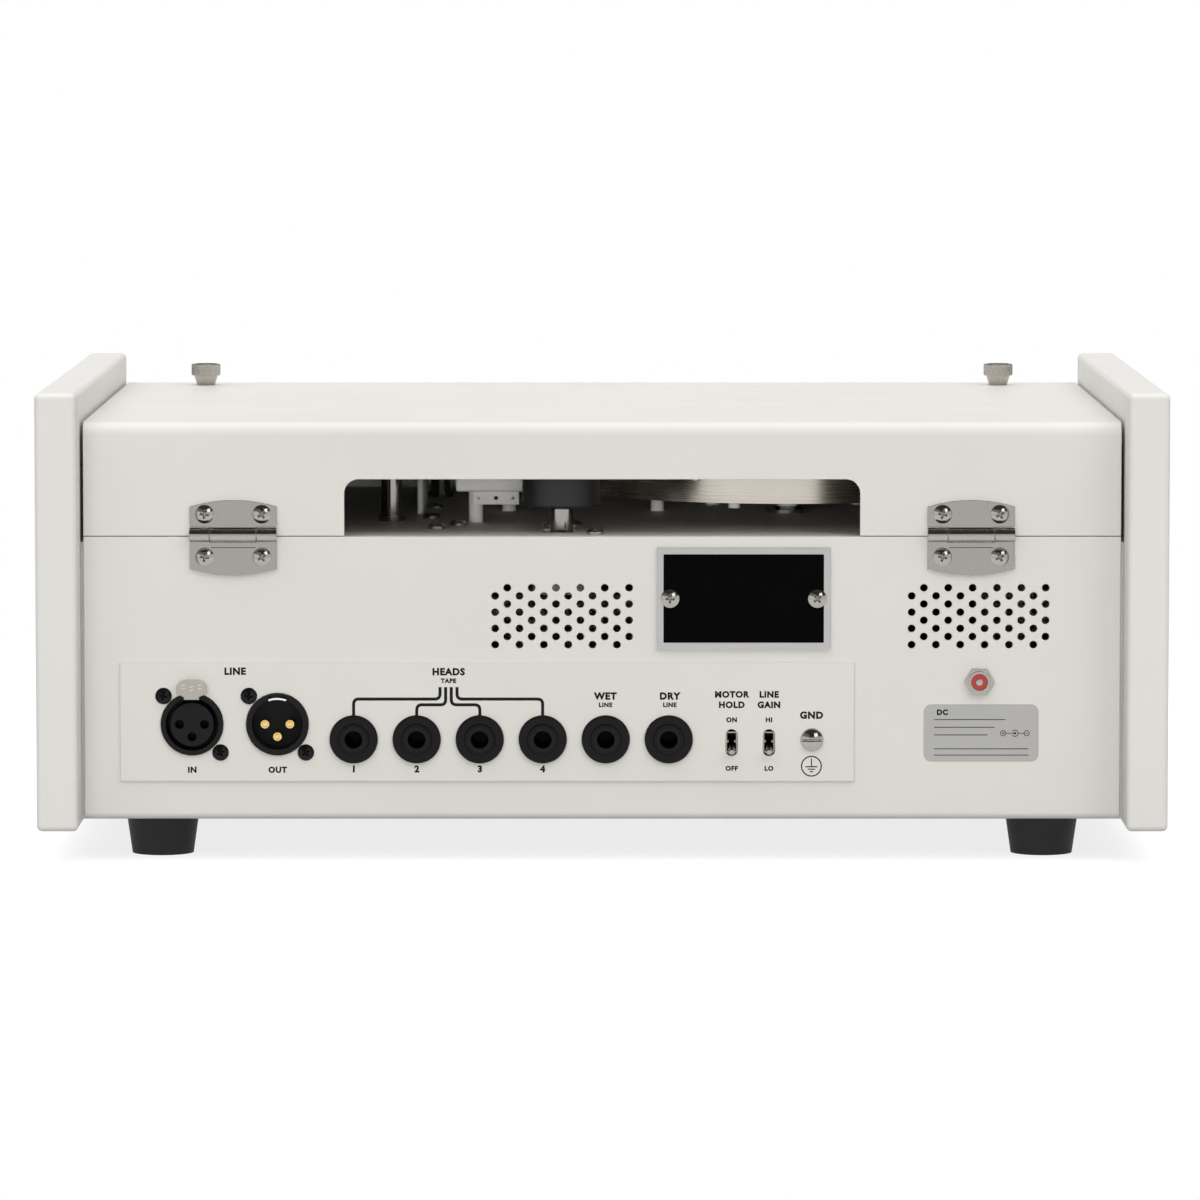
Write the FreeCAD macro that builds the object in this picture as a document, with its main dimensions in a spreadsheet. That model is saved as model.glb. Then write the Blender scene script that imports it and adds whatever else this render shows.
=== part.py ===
"""Tape echo unit, rear connectors and tape transport, as a parametric document.

Frame: millimetres, +Z up, front towards -Y, rear connectors towards +Y, origin on the surface the
feet stand on, midway between the side panels' ends. Left and right are as seen from the front.
"""
import FreeCAD, Part
import math
import os
import re

import Sketcher

DOC = FreeCAD.newDocument("tape_echo_unit")
SHEET = DOC.addObject("Spreadsheet::Sheet", "Sizes")

SIZES = {
    # case
    "case_wide": 410.0,
    "panel_thick": 15.0,
    "panel_deep": 290.0,
    "panel_low": 13.0,
    "panel_tall": 159.0,
    "panel_round": 2.0,
    "sheet": 1.6,
    "chassis_low": 15.3,
    "split_z": 118.8,
    "split_gap": 0.3,
    "rear_y": 125.0,
    "front_y": -127.5,
    "edge_gap": 1.2,
    "fold_round": 2.5,
    "rib_deep": 10.0,
    "deck_screw_inset": 6.4,
    "front_plate": 2.0,
    "brow_y": -143.4,
    "brow_drop": 8.0,
    "stop_strip": 3.0,
    "strip_gap": 0.6,
    "deck_thick": 2.0,
    "wire_hole_inset": 65.0,
    "wire_hole_y": -38.0,
    "wire_hole_wide": 22.0,
    "wire_hole_deep": 16.0,
    "hole_gap": 0.2,
    "run_gap": 0.05,
    "touch_gap": 0.3,
    # lid
    "lid_top": 160.5,
    "lid_front_y": -143.4,
    "lid_round": 4.5,
    "window_wide": 187.7,
    "window_top": 139.7,
    "window_round": 5.2,
    # vents
    "vent_right_x": 14.6,
    "vent_left_x": -137.1,
    "vent_top_z": 100.1,
    "vent_pitch": 8.87,
    "vent_row": 2.97,
    "vent_hole": 2.8,
    # hinges
    "hinge_inset": 70.8,
    "hinge_wide": 31.7,
    "hinge_y": 127.7,
    "hinge_z": 119.6,
    "barrel_wide": 5.1,
    "hinge_pin": 2.4,
    "knuckle": 7.2,
    "leaf_thick": 1.2,
    "leaf_up": 12.6,
    "leaf_down": 15.0,
    "leaf_bulge": 2.4,
    "leaf_screw_x": 10.4,
    "leaf_screw_up": 7.5,
    "leaf_screw_down": 8.1,
    # screws
    "screw_head": 6.5,
    "foot_screw_head": 6.0,
    "screw_head_tall": 1.9,
    "screw_shank": 3.0,
    "screw_long": 7.0,
    "recess_long": 3.6,
    "recess_wide": 0.8,
    "recess_deep": 0.9,
    # thumbscrews and their posts
    "thumb_inset": 48.0,
    "thumb_y": -121.0,
    "thumb_wide": 11.5,
    "thumb_tall": 8.5,
    "thumb_knurl": 4.75,
    "thumb_foot": 7.3,
    "thumb_collar": 9.3,
    "thumb_shank": 4.0,
    "thumb_reach": 3.6,
    "post_wide": 12.0,
    "post_bore": 5.6,
    # nameplate
    "name_x": -51.5,
    "name_z": 96.3,
    "name_wide": 63.1,
    "name_tall": 37.0,
    "name_thick": 1.4,
    "name_screw_x": 26.8,
    # connector plate
    "plate_left_x": -91.9,
    "plate_right_x": 175.7,
    "plate_low_z": 29.4,
    "plate_top_z": 73.0,
    "plate_thick": 0.8,
    # three-pole connectors
    "xlr_in_x": 149.5,
    "xlr_out_x": 118.4,
    "xlr_z": 50.3,
    "xlr_wide": 22.7,
    "xlr_proud": 1.0,
    "xlr_deep": 20.0,
    "xlr_cup": 18.6,
    "xlr_core": 15.8,
    "xlr_pin": 3.0,
    "xlr_pin_pitch": 4.55,
    "xlr_pin_long": 11.5,
    "xlr_flange": 31.0,
    "xlr_flange_thick": 2.0,
    "xlr_screw": 10.35,
    "xlr_screw_head": 6.0,
    "latch_wide": 10.9,
    "latch_tall": 6.3,
    "latch_neck": 5.4,
    "latch_thick": 1.6,
    "latch_travel": 1.2,
    # jacks
    "jack_first_x": 90.6,
    "jack_pitch": 22.97,
    "jack_z": 44.8,
    "jack_bore": 6.5,
    "jack_bush": 9.4,
    "jack_nut": 17.6,
    "jack_flange": 1.4,
    "jack_flat": 7.9,
    "jack_nut_thick": 1.6,
    "jack_ring": 11.4,
    "jack_ring_tall": 2.8,
    "jack_body_wide": 15.0,
    "jack_body_deep": 24.0,
    "front_jack_inset": 41.0,
    "front_jack_z": 42.0,
    # toggle switches
    "switch_one_x": -47.2,
    "switch_two_x": -60.8,
    "switch_z": 43.5,
    "slot_wide": 4.4,
    "slot_tall": 9.9,
    "lever_wide": 2.6,
    "lever_long": 5.0,
    "lever_tilt": 15.0,
    "power_lever_long": 12.0,
    "power_tilt": 12.0,
    "lever_back": 4.5,
    "lever_pin": 2.8,
    "switch_wide": 9.0,
    "switch_tall": 14.0,
    "switch_deep": 14.0,
    "power_inset": 39.0,
    "power_z": 84.0,
    # earth terminal and inlet
    "earth_x": -76.5,
    "earth_z": 44.6,
    "earth_wide": 7.8,
    "earth_tall": 2.6,
    "earth_shank": 4.0,
    "inlet_x": -137.4,
    "inlet_z": 65.8,
    "inlet_flats": 9.6,
    "inlet_bush": 8.0,
    "inlet_bore": 6.0,
    "inlet_pin": 2.3,
    "inlet_deep": 16.0,
    "inlet_proud": 2.6,
    # feet
    "foot_inset": 43.0,
    "foot_inset_deep": 49.0,
    "foot_wide": 27.0,
    "foot_narrow": 22.6,
    "foot_recess": 9.0,
    "foot_sole": 3.0,
    # front panel controls
    "meter_x": -118.0,
    "meter_z": 78.0,
    "meter_wide": 64.0,
    "meter_tall": 48.0,
    "meter_deep": 22.0,
    "meter_wall": 2.0,
    "meter_bezel": 3.0,
    "meter_proud": 5.0,
    "needle_long": 29.0,
    "needle_tilt": 45.0,
    "knob_z": 80.0,
    "knob_first_x": -58.0,
    "knob_pitch": 40.0,
    "knob_wide": 22.0,
    "knob_tall": 13.0,
    "knob_lift": 3.6,
    "knob_lip": 2.0,
    "knob_skirt_tall": 2.0,
    "selector_x": 118.0,
    "selector_wide": 34.0,
    "shaft_wide": 6.0,
    "shaft_bush": 9.4,
    "pot_wide": 17.0,
    "pot_deep": 11.0,
    # tape path
    "tape_low": 137.0,
    "tape_tall": 6.35,
    "tape_thick": 0.2,
    "guide_gap": 0.3,
    "guide_wide": 7.9,
    "guide_top": 153.0,
    "guide_rear_x": 102.0,
    "guide_rear_y": 70.0,
    "guide_side_x": 78.8,
    "guide_side_y": 44.0,
    "guide_front_y": -84.0,
    "head_line_x": 67.55,
    # tape magazine
    "tray_x": -70.5,
    "tray_y": 0.0,
    "tray_wide": 156.0,
    "tray_low": 127.4,
    "tray_top": 151.2,
    "tray_wall": 1.6,
    "tray_slot": 1.6,
    "cover_thick": 1.5,
    "table_wide": 132.0,
    "table_thick": 2.0,
    "hub_wide": 44.0,
    "hub_top": 146.8,
    "pack_wide": 123.0,
    "spindle_wide": 8.0,
    "spindle_low": 104.0,
    "foot_ring": 50.0,
    "support_wide": 5.0,
    "peg_wide": 4.4,
    "peg_tall": 2.0,
    # capstan, roller, motor
    "capstan_x": 14.9,
    "capstan_y": 75.75,
    "capstan_wide": 6.0,
    "capstan_top": 152.6,
    "capstan_low": 92.0,
    "nip_gap": 0.8,
    "wheel_wide": 60.0,
    "wheel_low": 96.0,
    "wheel_thick": 9.0,
    "roller_wide": 28.9,
    "roller_low": 127.2,
    "roller_tall": 19.6,
    "roller_hub": 12.0,
    "roller_post": 8.5,
    "roller_shaft": 5.0,
    "arm_low": 109.5,
    "arm_thick": 3.0,
    "arm_wide": 12.0,
    "arm_pivot_x": 54.0,
    "arm_pivot_y": 100.0,
    "arm_swing": 8.0,
    "pivot_wide": 6.0,
    "bearing_wide": 12.0,
    "bearing_low": 107.0,
    "bearing_top": 121.4,
    "motor_x": 78.0,
    "motor_wide": 36.0,
    "motor_tall": 40.0,
    "motor_top": 92.0,
    "motor_shaft": 3.0,
    "motor_plate": 2.0,
    "motor_post_ring": 26.0,
    "pulley_wide": 14.0,
    "belt_thick": 0.8,
    "belt_tall": 5.0,
    # heads
    "bridge_left_x": 29.0,
    "bridge_right_x": 54.6,
    "bridge_rear_y": 60.0,
    "bridge_front_y": -74.0,
    "bridge_low": 130.6,
    "bridge_tall": 15.0,
    "bridge_post": 5.4,
    "bridge_post_x": 47.1,
    "bridge_post_inset": 6.5,
    "bridge_tab_drop": 4.8,
    "head_first_y": -1.0,
    "head_pitch": 12.6,
    "head_wide": 10.6,
    "head_low": 134.8,
    "head_tall": 12.0,
    "head_gap": 0.35,
    "pad_thick": 2.2,
    "pad_rear_y": 10.0,
    "pad_top": 145.8,
    # electronics
    "board_wide": 300.0,
    "board_deep": 150.0,
    "board_y": -10.0,
    "board_low": 30.0,
    "board_thick": 1.6,
    "standoff_wide": 6.0,
    "standoff_inset": 8.0,
    "can_wide": 10.0,
    "can_tall": 16.0,
    "can_pitch": 24.0,
    "chip_wide": 7.6,
    "chip_long": 20.0,
    "chip_tall": 4.2,
    "chip_pitch": 26.0,
}


def make_sheet():
    """Write every driving dimension with its alias into the sheet."""
    for row, (name, number) in enumerate(SIZES.items(), start=1):
        SHEET.set(f"A{row}", name)
        SHEET.set(f"B{row}", str(number))
        SHEET.setAlias(f"B{row}", name)
    DOC.recompute()


def cells(text):
    """The same expression with each size's name pointing at its cell."""
    named = lambda found: "Sizes." + found.group(0) if found.group(0) in SIZES else found.group(0)
    return re.sub(r"[a-z][a-z_]*", named, str(text))


def number(text):
    """The present value of an expression in the sheet's sizes."""
    return float(SHEET.evalExpression(cells(text)))


def bind(item, target, text):
    item.setExpression(target, cells(text))


def place(item, point, axis="Z"):
    """Move an item to a point given by three expressions, its own Z turned to the named axis."""
    turns = {"X": ((0, 1, 0), 90), "Y": ((1, 0, 0), -90), "Z": ((0, 0, 1), 0)}
    way, angle = turns[axis]
    item.Placement = FreeCAD.Placement(FreeCAD.Vector(0, 0, 0), FreeCAD.Rotation(FreeCAD.Vector(*way), angle))
    for letter, text in zip("xyz", point):
        bind(item, f"Placement.Base.{letter}", text)


def box(name, low, high):
    """A block between two corners."""
    item = DOC.addObject("Part::Box", name)
    for side, start, end in zip(("Length", "Width", "Height"), low, high):
        bind(item, side, f"({end}) - ({start})")
    place(item, low)
    return item


def rod(name, wide, start, long, axis="Z"):
    """A cylinder of a diameter and a length that starts at a point and runs along an axis."""
    item = DOC.addObject("Part::Cylinder", name)
    bind(item, "Radius", f"({wide}) / 2")
    bind(item, "Height", long)
    place(item, start, axis)
    return item


def cone(name, wide_low, wide_high, start, long, axis="Z"):
    item = DOC.addObject("Part::Cone", name)
    bind(item, "Radius1", f"({wide_low}) / 2")
    bind(item, "Radius2", f"({wide_high}) / 2")
    bind(item, "Height", long)
    place(item, start, axis)
    return item


def fuse(name, items):
    joined = DOC.addObject("Part::MultiFuse", name)
    joined.Shapes = items
    joined.Refine = True
    return joined


def together(name, items):
    """Separate solids kept as one node."""
    group = DOC.addObject("Part::Compound", name)
    group.Links = items
    return group


def cut(name, base, tools):
    tool = tools[0] if len(tools) == 1 else together(name + "_tools", tools)
    result = DOC.addObject("Part::Cut", name)
    result.Base = base
    result.Tool = tool
    return result


def common(name, items):
    """The part of space that every item fills."""
    shared = DOC.addObject("Part::MultiCommon", name)
    shared.Shapes = items
    return shared


def round_edges(name, base, radius, chosen):
    """Fillet the edges of an item for which chosen(edge) is true."""
    DOC.recompute()
    result = DOC.addObject("Part::Fillet", name)
    result.Base = base
    value = number(radius)
    result.Edges = [(i, value, value) for i, edge in enumerate(base.Shape.Edges, start=1) if chosen(edge)]
    return result


def runs_along(edge, axis):
    """True for a straight edge parallel to X, Y or Z."""
    if edge.Curve.TypeId != "Part::GeomLine":
        return False
    return abs(edge.Curve.Direction["XYZ".index(axis)]) > 0.999


def near(edge, **places):
    """True when the middle of an edge lies at each given coordinate."""
    middle = edge.CenterOfMass
    return all(abs(getattr(middle, letter) - value) < 0.05 for letter, value in places.items())


def body(name):
    return DOC.addObject("PartDesign::Body", name)


def sketch(owner, role, name, offset="0"):
    """A sketch on one of a body's origin planes, moved along the plane's normal."""
    plane = [item for item in owner.Origin.OriginFeatures if item.Role == role][0]
    drawing = owner.newObject("Sketcher::SketchObject", name)
    drawing.AttachmentSupport = (plane, [""])
    drawing.MapMode = "FlatFace"
    bind(drawing, "AttachmentOffset.Base.z", offset)
    return drawing


def fix(drawing, kind, where, text):
    index = drawing.addConstraint(Sketcher.Constraint(kind, *where, number(text)))
    bind(drawing, f"Constraints[{index}]", text)


def outline(drawing, points):
    """A closed polygon through points given as pairs of expressions."""
    first = drawing.GeometryCount
    spots = [FreeCAD.Vector(number(x), number(y), 0) for x, y in points]
    last = len(points) - 1
    for i, spot in enumerate(spots):
        drawing.addGeometry(Part.LineSegment(spot, spots[0 if i == last else i + 1]))
    for i in range(len(points)):
        follower = first if i == last else first + i + 1
        drawing.addConstraint(Sketcher.Constraint("Coincident", first + i, 2, follower, 1))
    for i, (x, y) in enumerate(points):
        fix(drawing, "DistanceX", (first + i, 1), x)
        fix(drawing, "DistanceY", (first + i, 1), y)


def rectangle(drawing, left, low, right, top):
    outline(drawing, [(left, low), (right, low), (right, top), (left, top)])


def circle(drawing, x, y, wide):
    centre = FreeCAD.Vector(number(x), number(y), 0)
    index = drawing.addGeometry(Part.Circle(centre, FreeCAD.Vector(0, 0, 1), number(wide) / 2))
    fix(drawing, "DistanceX", (index, 3), x)
    fix(drawing, "DistanceY", (index, 3), y)
    fix(drawing, "Radius", (index,), f"({wide}) / 2")


def long_hole(drawing, x, y, wide, tall):
    """An upright slot with round ends, of a full width and height, about a middle point."""
    radius, reach = number(wide) / 2, number(f"({tall}) / 2 - ({wide}) / 2")
    middle_x, middle_y = number(x), number(y)
    up = FreeCAD.Vector(0, 0, 1)
    top, low = [Part.Circle(FreeCAD.Vector(middle_x, middle_y + way * reach, 0), up, radius) for way in (1, -1)]
    corner = lambda side, way: FreeCAD.Vector(middle_x + side * radius, middle_y + way * reach, 0)
    first = drawing.addGeometry(Part.ArcOfCircle(top, 0, math.pi))
    drawing.addGeometry(Part.LineSegment(corner(-1, 1), corner(-1, -1)))
    drawing.addGeometry(Part.ArcOfCircle(low, math.pi, 2 * math.pi))
    drawing.addGeometry(Part.LineSegment(corner(1, -1), corner(1, 1)))
    for i in range(4):
        drawing.addConstraint(Sketcher.Constraint("Tangent", first + i, 2, first + (i + 1) % 4, 1))
    for arc, way in ((first, 1), (first + 2, -1)):
        fix(drawing, "DistanceX", (arc, 3), x)
        fix(drawing, "DistanceY", (arc, 3), f"({y}) + {way} * (({tall}) - ({wide})) / 2")
    fix(drawing, "Radius", (first,), f"({wide}) / 2")


def pad(owner, drawing, long, backwards=False):
    feature = owner.newObject("PartDesign::Pad", drawing.Name + "_pad")
    feature.Profile = drawing
    feature.Reversed = backwards
    bind(feature, "Length", long)
    return feature


def pocket(owner, drawing, deep=None, backwards=False):
    """Cut a sketch into a body, right through unless a depth is given."""
    feature = owner.newObject("PartDesign::Pocket", drawing.Name + "_pocket")
    feature.Profile = drawing
    feature.Reversed = backwards
    if deep is None:
        feature.Type = "ThroughAll"
    else:
        bind(feature, "Length", deep)
    return feature


def turned(name, profile, point, axis="Z"):
    """A solid of revolution from (radius, height) pairs, set down at a point along an axis."""
    owner = body(name)
    drawing = sketch(owner, "XZ_Plane", name + "_profile")
    outline(drawing, profile)
    feature = owner.newObject("PartDesign::Revolution", name + "_turn")
    feature.Profile = drawing
    feature.ReferenceAxis = (drawing, ["V_Axis"])
    feature.Angle = 360
    place(owner, point, axis)
    return owner


def fillet(owner, name, radius, chosen):
    """Round the edges of a body's newest feature for which chosen(edge) is true."""
    DOC.recompute()
    base = owner.Tip
    edges = [f"Edge{i}" for i, edge in enumerate(base.Shape.Edges, start=1) if chosen(edge)]
    feature = owner.newObject("PartDesign::Fillet", name)
    feature.Base = (base, edges)
    bind(feature, "Radius", radius)
    return feature


def screw(name, head, point, axis, outward, long="screw_long", shank="screw_shank"):
    """A cross-head screw whose head sits on a face and points outward, +1 or -1, along the axis."""
    x, y, z = point
    spot = {"X": x, "Y": y, "Z": z}
    along = spot[axis]

    def shifted(amount):
        moved = dict(spot)
        moved[axis] = f"({along}) + ({amount})"
        return (moved["X"], moved["Y"], moved["Z"])

    top = "screw_head_tall" if outward > 0 else "-screw_head_tall"
    low_rim = "0" if outward > 0 else "-screw_head_tall / 2"
    low_crown = "screw_head_tall / 2" if outward > 0 else "-screw_head_tall"
    low_shank = f"-({long})" if outward > 0 else "0"
    narrow = f"({head}) * 0.68"
    widths = (head, narrow) if outward > 0 else (narrow, head)
    rim = rod(name + "_rim", head, shifted(low_rim), "screw_head_tall / 2", axis)
    crown = cone(name + "_crown", *widths, shifted(low_crown), "screw_head_tall / 2", axis)
    stem = rod(name + "_shank", shank, shifted(low_shank), long, axis)
    solid = fuse(name + "_blank", [rim, crown, stem])
    others = [letter for letter in "XYZ" if letter != axis]
    slots = []
    for lengthwise in others:
        low, high = {}, {}
        for letter in others:
            half = "recess_long / 2" if letter == lengthwise else "recess_wide / 2"
            low[letter] = f"({spot[letter]}) - {half}"
            high[letter] = f"({spot[letter]}) + {half}"
        low[axis] = f"({along}) + ({top}) - recess_deep"
        high[axis] = f"({along}) + ({top}) + recess_deep"
        corner_low = (low["X"], low["Y"], low["Z"])
        corner_high = (high["X"], high["Y"], high["Z"])
        slots.append(box(f"{name}_slot_{lengthwise}", corner_low, corner_high))
    return cut(name, solid, slots)


def kept(item, label):
    """Name an item as one finished sub-part."""
    item.Label = label
    PARTS.append(item)
    return item


PARTS = []


# ---- case ----------------------------------------------------------------------------------------
INNER_X = "case_wide / 2 - panel_thick"
FOOT_X = "(case_wide / 2 - foot_inset)"
FOOT_Y = "(panel_deep / 2 - foot_inset_deep)"
THUMB_X = "(case_wide / 2 - thumb_inset)"
POWER_X = "(case_wide / 2 - power_inset)"
FRONT_JACKS = [f"(front_jack_inset - case_wide / 2) + {i} * jack_pitch" for i in range(2)]
DECK_EDGE = f"({INNER_X} - deck_screw_inset)"
DECK_REAR = "(rear_y - 2 * deck_screw_inset)"
DECK_FRONT = "(front_y + front_plate + 2 * deck_screw_inset)"
DECK_CORNERS = [(x, y) for x in (f"-{DECK_EDGE}", DECK_EDGE) for y in (DECK_REAR, DECK_FRONT)]
PART_SCREWS = [("61.1", "85.5"), ("63.8", "-19.9"), ("53.4", "70.0"), ("64.1", "33.0"), ("2.5", "113.0")]
DECK_SCREWS = PART_SCREWS + DECK_CORNERS
FEET = [(x, y) for x in (f"-{FOOT_X}", FOOT_X) for y in (f"-{FOOT_Y}", FOOT_Y)]
WALL_X = "case_wide / 2 - panel_thick - edge_gap"
SIDE_SCREWS = [(y, z) for y in ("-panel_deep / 3", "0", "panel_deep / 3") for z in ("chassis_low + 22",)]


def side_panel(name, side):
    """A thick board with rounded edges and blind pilot holes in its inner face."""
    board = body(name)
    inner = f"{side} * ({INNER_X})"
    drawing = sketch(board, "YZ_Plane", name + "_outline", inner)
    rectangle(drawing, "-panel_deep / 2", "panel_low", "panel_deep / 2", "panel_low + panel_tall")
    pad(board, drawing, "panel_thick", backwards=side < 0)
    fillet(board, name + "_edges", "panel_round", lambda edge: True)
    holes = sketch(board, "YZ_Plane", name + "_holes", inner)
    for y, z in SIDE_SCREWS:
        circle(holes, y, z, "screw_shank + hole_gap")
    pocket(board, holes, "screw_long", backwards=side > 0)
    return kept(board, name)


def vent_places():
    """Eight staggered rows of six holes for each of the two groups."""
    places = []
    for middle in ("vent_right_x", "vent_left_x"):
        for row in range(8):
            shift = "-2.75" if row % 2 == 0 else "-2.25"
            for column in range(6):
                x = f"{middle} + ({shift} + {column}) * vent_pitch"
                places.append((x, f"vent_top_z - {row} * vent_row"))
    return places


def rear_holes(drawing):
    """Clearance holes for everything that stands in the rear wall below the lid."""
    for x in ("xlr_in_x", "xlr_out_x"):
        circle(drawing, x, "xlr_z", "xlr_wide + hole_gap")
        for way in (-1, 1):
            circle(drawing, f"{x} + {way} * xlr_screw", f"xlr_z + {way} * xlr_screw", "screw_shank + hole_gap")
    for x in REAR_JACKS:
        circle(drawing, x, "jack_z", "jack_bush + hole_gap")
    for x in ("switch_one_x", "switch_two_x"):
        long_hole(drawing, x, "switch_z", "slot_wide", "slot_tall")
    circle(drawing, "earth_x", "earth_z", "earth_shank + hole_gap")


REAR_JACKS = [f"jack_first_x - {i} * jack_pitch" for i in range(6)]
HINGES = ["-(case_wide / 2 - hinge_inset)", "(case_wide / 2 - hinge_inset)"]


def base_chassis():
    """Folded tray with ribs that carry the deck, and the rear sheet welded along its end."""
    tray = body("chassis_blank")
    profile = sketch(tray, "YZ_Plane", "chassis_outer", f"-({INNER_X})")
    rear_face = "rear_y"
    outline(profile, [
        ("front_y + front_plate", "chassis_low"),
        (rear_face, "chassis_low"),
        (rear_face, "split_z"),
        ("front_y + front_plate", "split_z"),
    ])
    pad(tray, profile, f"2 * ({INNER_X})")
    fillet(tray, "chassis_fold", "fold_round", lambda edge: runs_along(edge, "X") and near(
        edge, y=number("rear_y"), z=number("chassis_low")))
    hollow = sketch(tray, "YZ_Plane", "chassis_inner", f"-({INNER_X}) + sheet")
    outline(hollow, [
        ("front_y", "chassis_low + sheet"),
        ("rear_y - sheet", "chassis_low + sheet"),
        ("rear_y - sheet", "split_z + sheet"),
        ("front_y", "split_z + sheet"),
    ])
    pocket(tray, hollow, f"2 * ({INNER_X}) - 2 * sheet", backwards=True)
    ends = sketch(tray, "XY_Plane", "chassis_ends", "chassis_low")
    for side in (-1, 1):
        left, right = f"{side} * ({WALL_X})", f"{side} * ({INNER_X} + sheet)"
        if side < 0:
            left, right = right, left
        rectangle(ends, left, "rear_y - sheet", right, "rear_y + sheet")
    pocket(tray, ends, "split_z - chassis_low", backwards=True)
    sides = sketch(tray, "XY_Plane", "chassis_side_tops", "split_z - deck_thick")
    rectangle(sides, f"-({INNER_X}) - sheet", "front_y", f"{INNER_X} + sheet", "rear_y - sheet")
    pocket(tray, sides, "deck_thick + sheet", backwards=True)
    ribs = sketch(tray, "XY_Plane", "chassis_ribs", "split_z - deck_thick - sheet")
    for side in (-1, 1):
        edges = [f"{side} * ({INNER_X} - sheet / 2)", f"{side} * ({INNER_X} - rib_deep)"]
        left, right = edges if side < 0 else edges[::-1]
        rectangle(ribs, left, "front_y + front_plate", right, "rear_y - sheet / 2")
    pad(tray, ribs, "sheet")
    tapped = sketch(tray, "XY_Plane", "chassis_rib_holes", "split_z - deck_thick - 2 * sheet")
    for x, y in DECK_CORNERS:
        circle(tapped, x, y, "screw_shank + hole_gap")
    pocket(tray, tapped, "3 * sheet", backwards=True)
    back = sketch(tray, "XZ_Plane", "chassis_rear_holes", "-rear_y + sheet")
    rear_holes(back)
    for x, z in vent_places():
        circle(back, x, z, "vent_hole")
    circle(back, "inlet_x", "inlet_z", "inlet_bush + hole_gap")
    for x in HINGES:
        for way in (-1, 1):
            circle(back, f"{x} + {way} * leaf_screw_x", "hinge_z - leaf_screw_down", "screw_shank + hole_gap")
    for way in (-1, 1):
        circle(back, f"name_x + {way} * name_screw_x", "name_z", "screw_shank + hole_gap")
    pocket(tray, back, "2 * sheet")
    walls = sketch(tray, "YZ_Plane", "chassis_side_holes")
    for y, z in SIDE_SCREWS:
        circle(walls, y, z, "screw_shank + hole_gap")
    through = pocket(tray, walls)
    through.SideType = "Symmetric"
    floor = sketch(tray, "XY_Plane", "chassis_floor_holes", "chassis_low - sheet")
    for x, y in FEET:
        circle(floor, x, y, "screw_shank + hole_gap")
    pocket(tray, floor, "3 * sheet", backwards=True)
    rear_corner = (f"-({INNER_X})", "rear_y - sheet", "chassis_low - sheet")
    end_space = box("chassis_end_space", rear_corner, (INNER_X, "rear_y + sheet", "split_z + sheet"))
    pan = cut("chassis_pan", tray, [end_space])
    rear_sheet = common("chassis_rear_sheet", [tray, end_space])
    return kept(together("base_chassis", [pan, rear_sheet]), "base_chassis")


def front_panel():
    """Plate that closes the front, with a brow under the lid's front edge and a strip that stands inside it."""
    plate = body("front_panel")
    profile = sketch(plate, "YZ_Plane", "front_profile", f"-({WALL_X})")
    outline(profile, [
        ("front_y", "chassis_low"),
        ("front_y + front_plate", "chassis_low"),
        ("front_y + front_plate", "split_z"),
        ("lid_front_y + sheet + strip_gap + front_plate", "split_z"),
        ("lid_front_y + sheet + strip_gap + front_plate", "split_z + stop_strip"),
        ("lid_front_y + sheet + strip_gap", "split_z + stop_strip"),
        ("lid_front_y + sheet + strip_gap", "split_z"),
        ("brow_y", "split_z"),
        ("brow_y", "split_z - brow_drop"),
        ("brow_y + front_plate", "split_z - brow_drop"),
        ("brow_y + front_plate", "split_z - front_plate"),
        ("front_y", "split_z - front_plate"),
    ])
    pad(plate, profile, f"2 * ({WALL_X})")
    fillet(plate, "front_brow_fold", "front_plate * 0.8", lambda edge: runs_along(edge, "X") and near(
        edge, y=number("brow_y"), z=number("split_z")))
    ends = sketch(plate, "XY_Plane", "strip_ends", "split_z")
    for side in (-1, 1):
        edges = [f"{side} * ({WALL_X} + sheet)", f"{side} * ({WALL_X} - sheet - 2 * strip_gap)"]
        left, right = edges if side < 0 else edges[::-1]
        rectangle(ends, left, "lid_front_y", right, "front_y")
    pocket(plate, ends, "2 * stop_strip", backwards=True)
    holes = sketch(plate, "XZ_Plane", "front_holes", "-front_y - 2 * front_plate")
    for i in range(4):
        circle(holes, f"knob_first_x + {i} * knob_pitch", "knob_z", "shaft_bush + hole_gap")
    circle(holes, "selector_x", "knob_z", "shaft_bush + hole_gap")
    circle(holes, POWER_X, "power_z", "shaft_bush + hole_gap")
    for x in FRONT_JACKS:
        circle(holes, x, "front_jack_z", "jack_bush + hole_gap")
    wide = "(meter_wide / 2 - meter_bezel + hole_gap)"
    tall = "(meter_tall / 2 - meter_bezel + hole_gap)"
    rectangle(holes, f"meter_x - {wide}", f"meter_z - {tall}", f"meter_x + {wide}", f"meter_z + {tall}")
    pocket(plate, holes, "4 * front_plate", backwards=True)
    return kept(plate, "front_panel")


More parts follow.
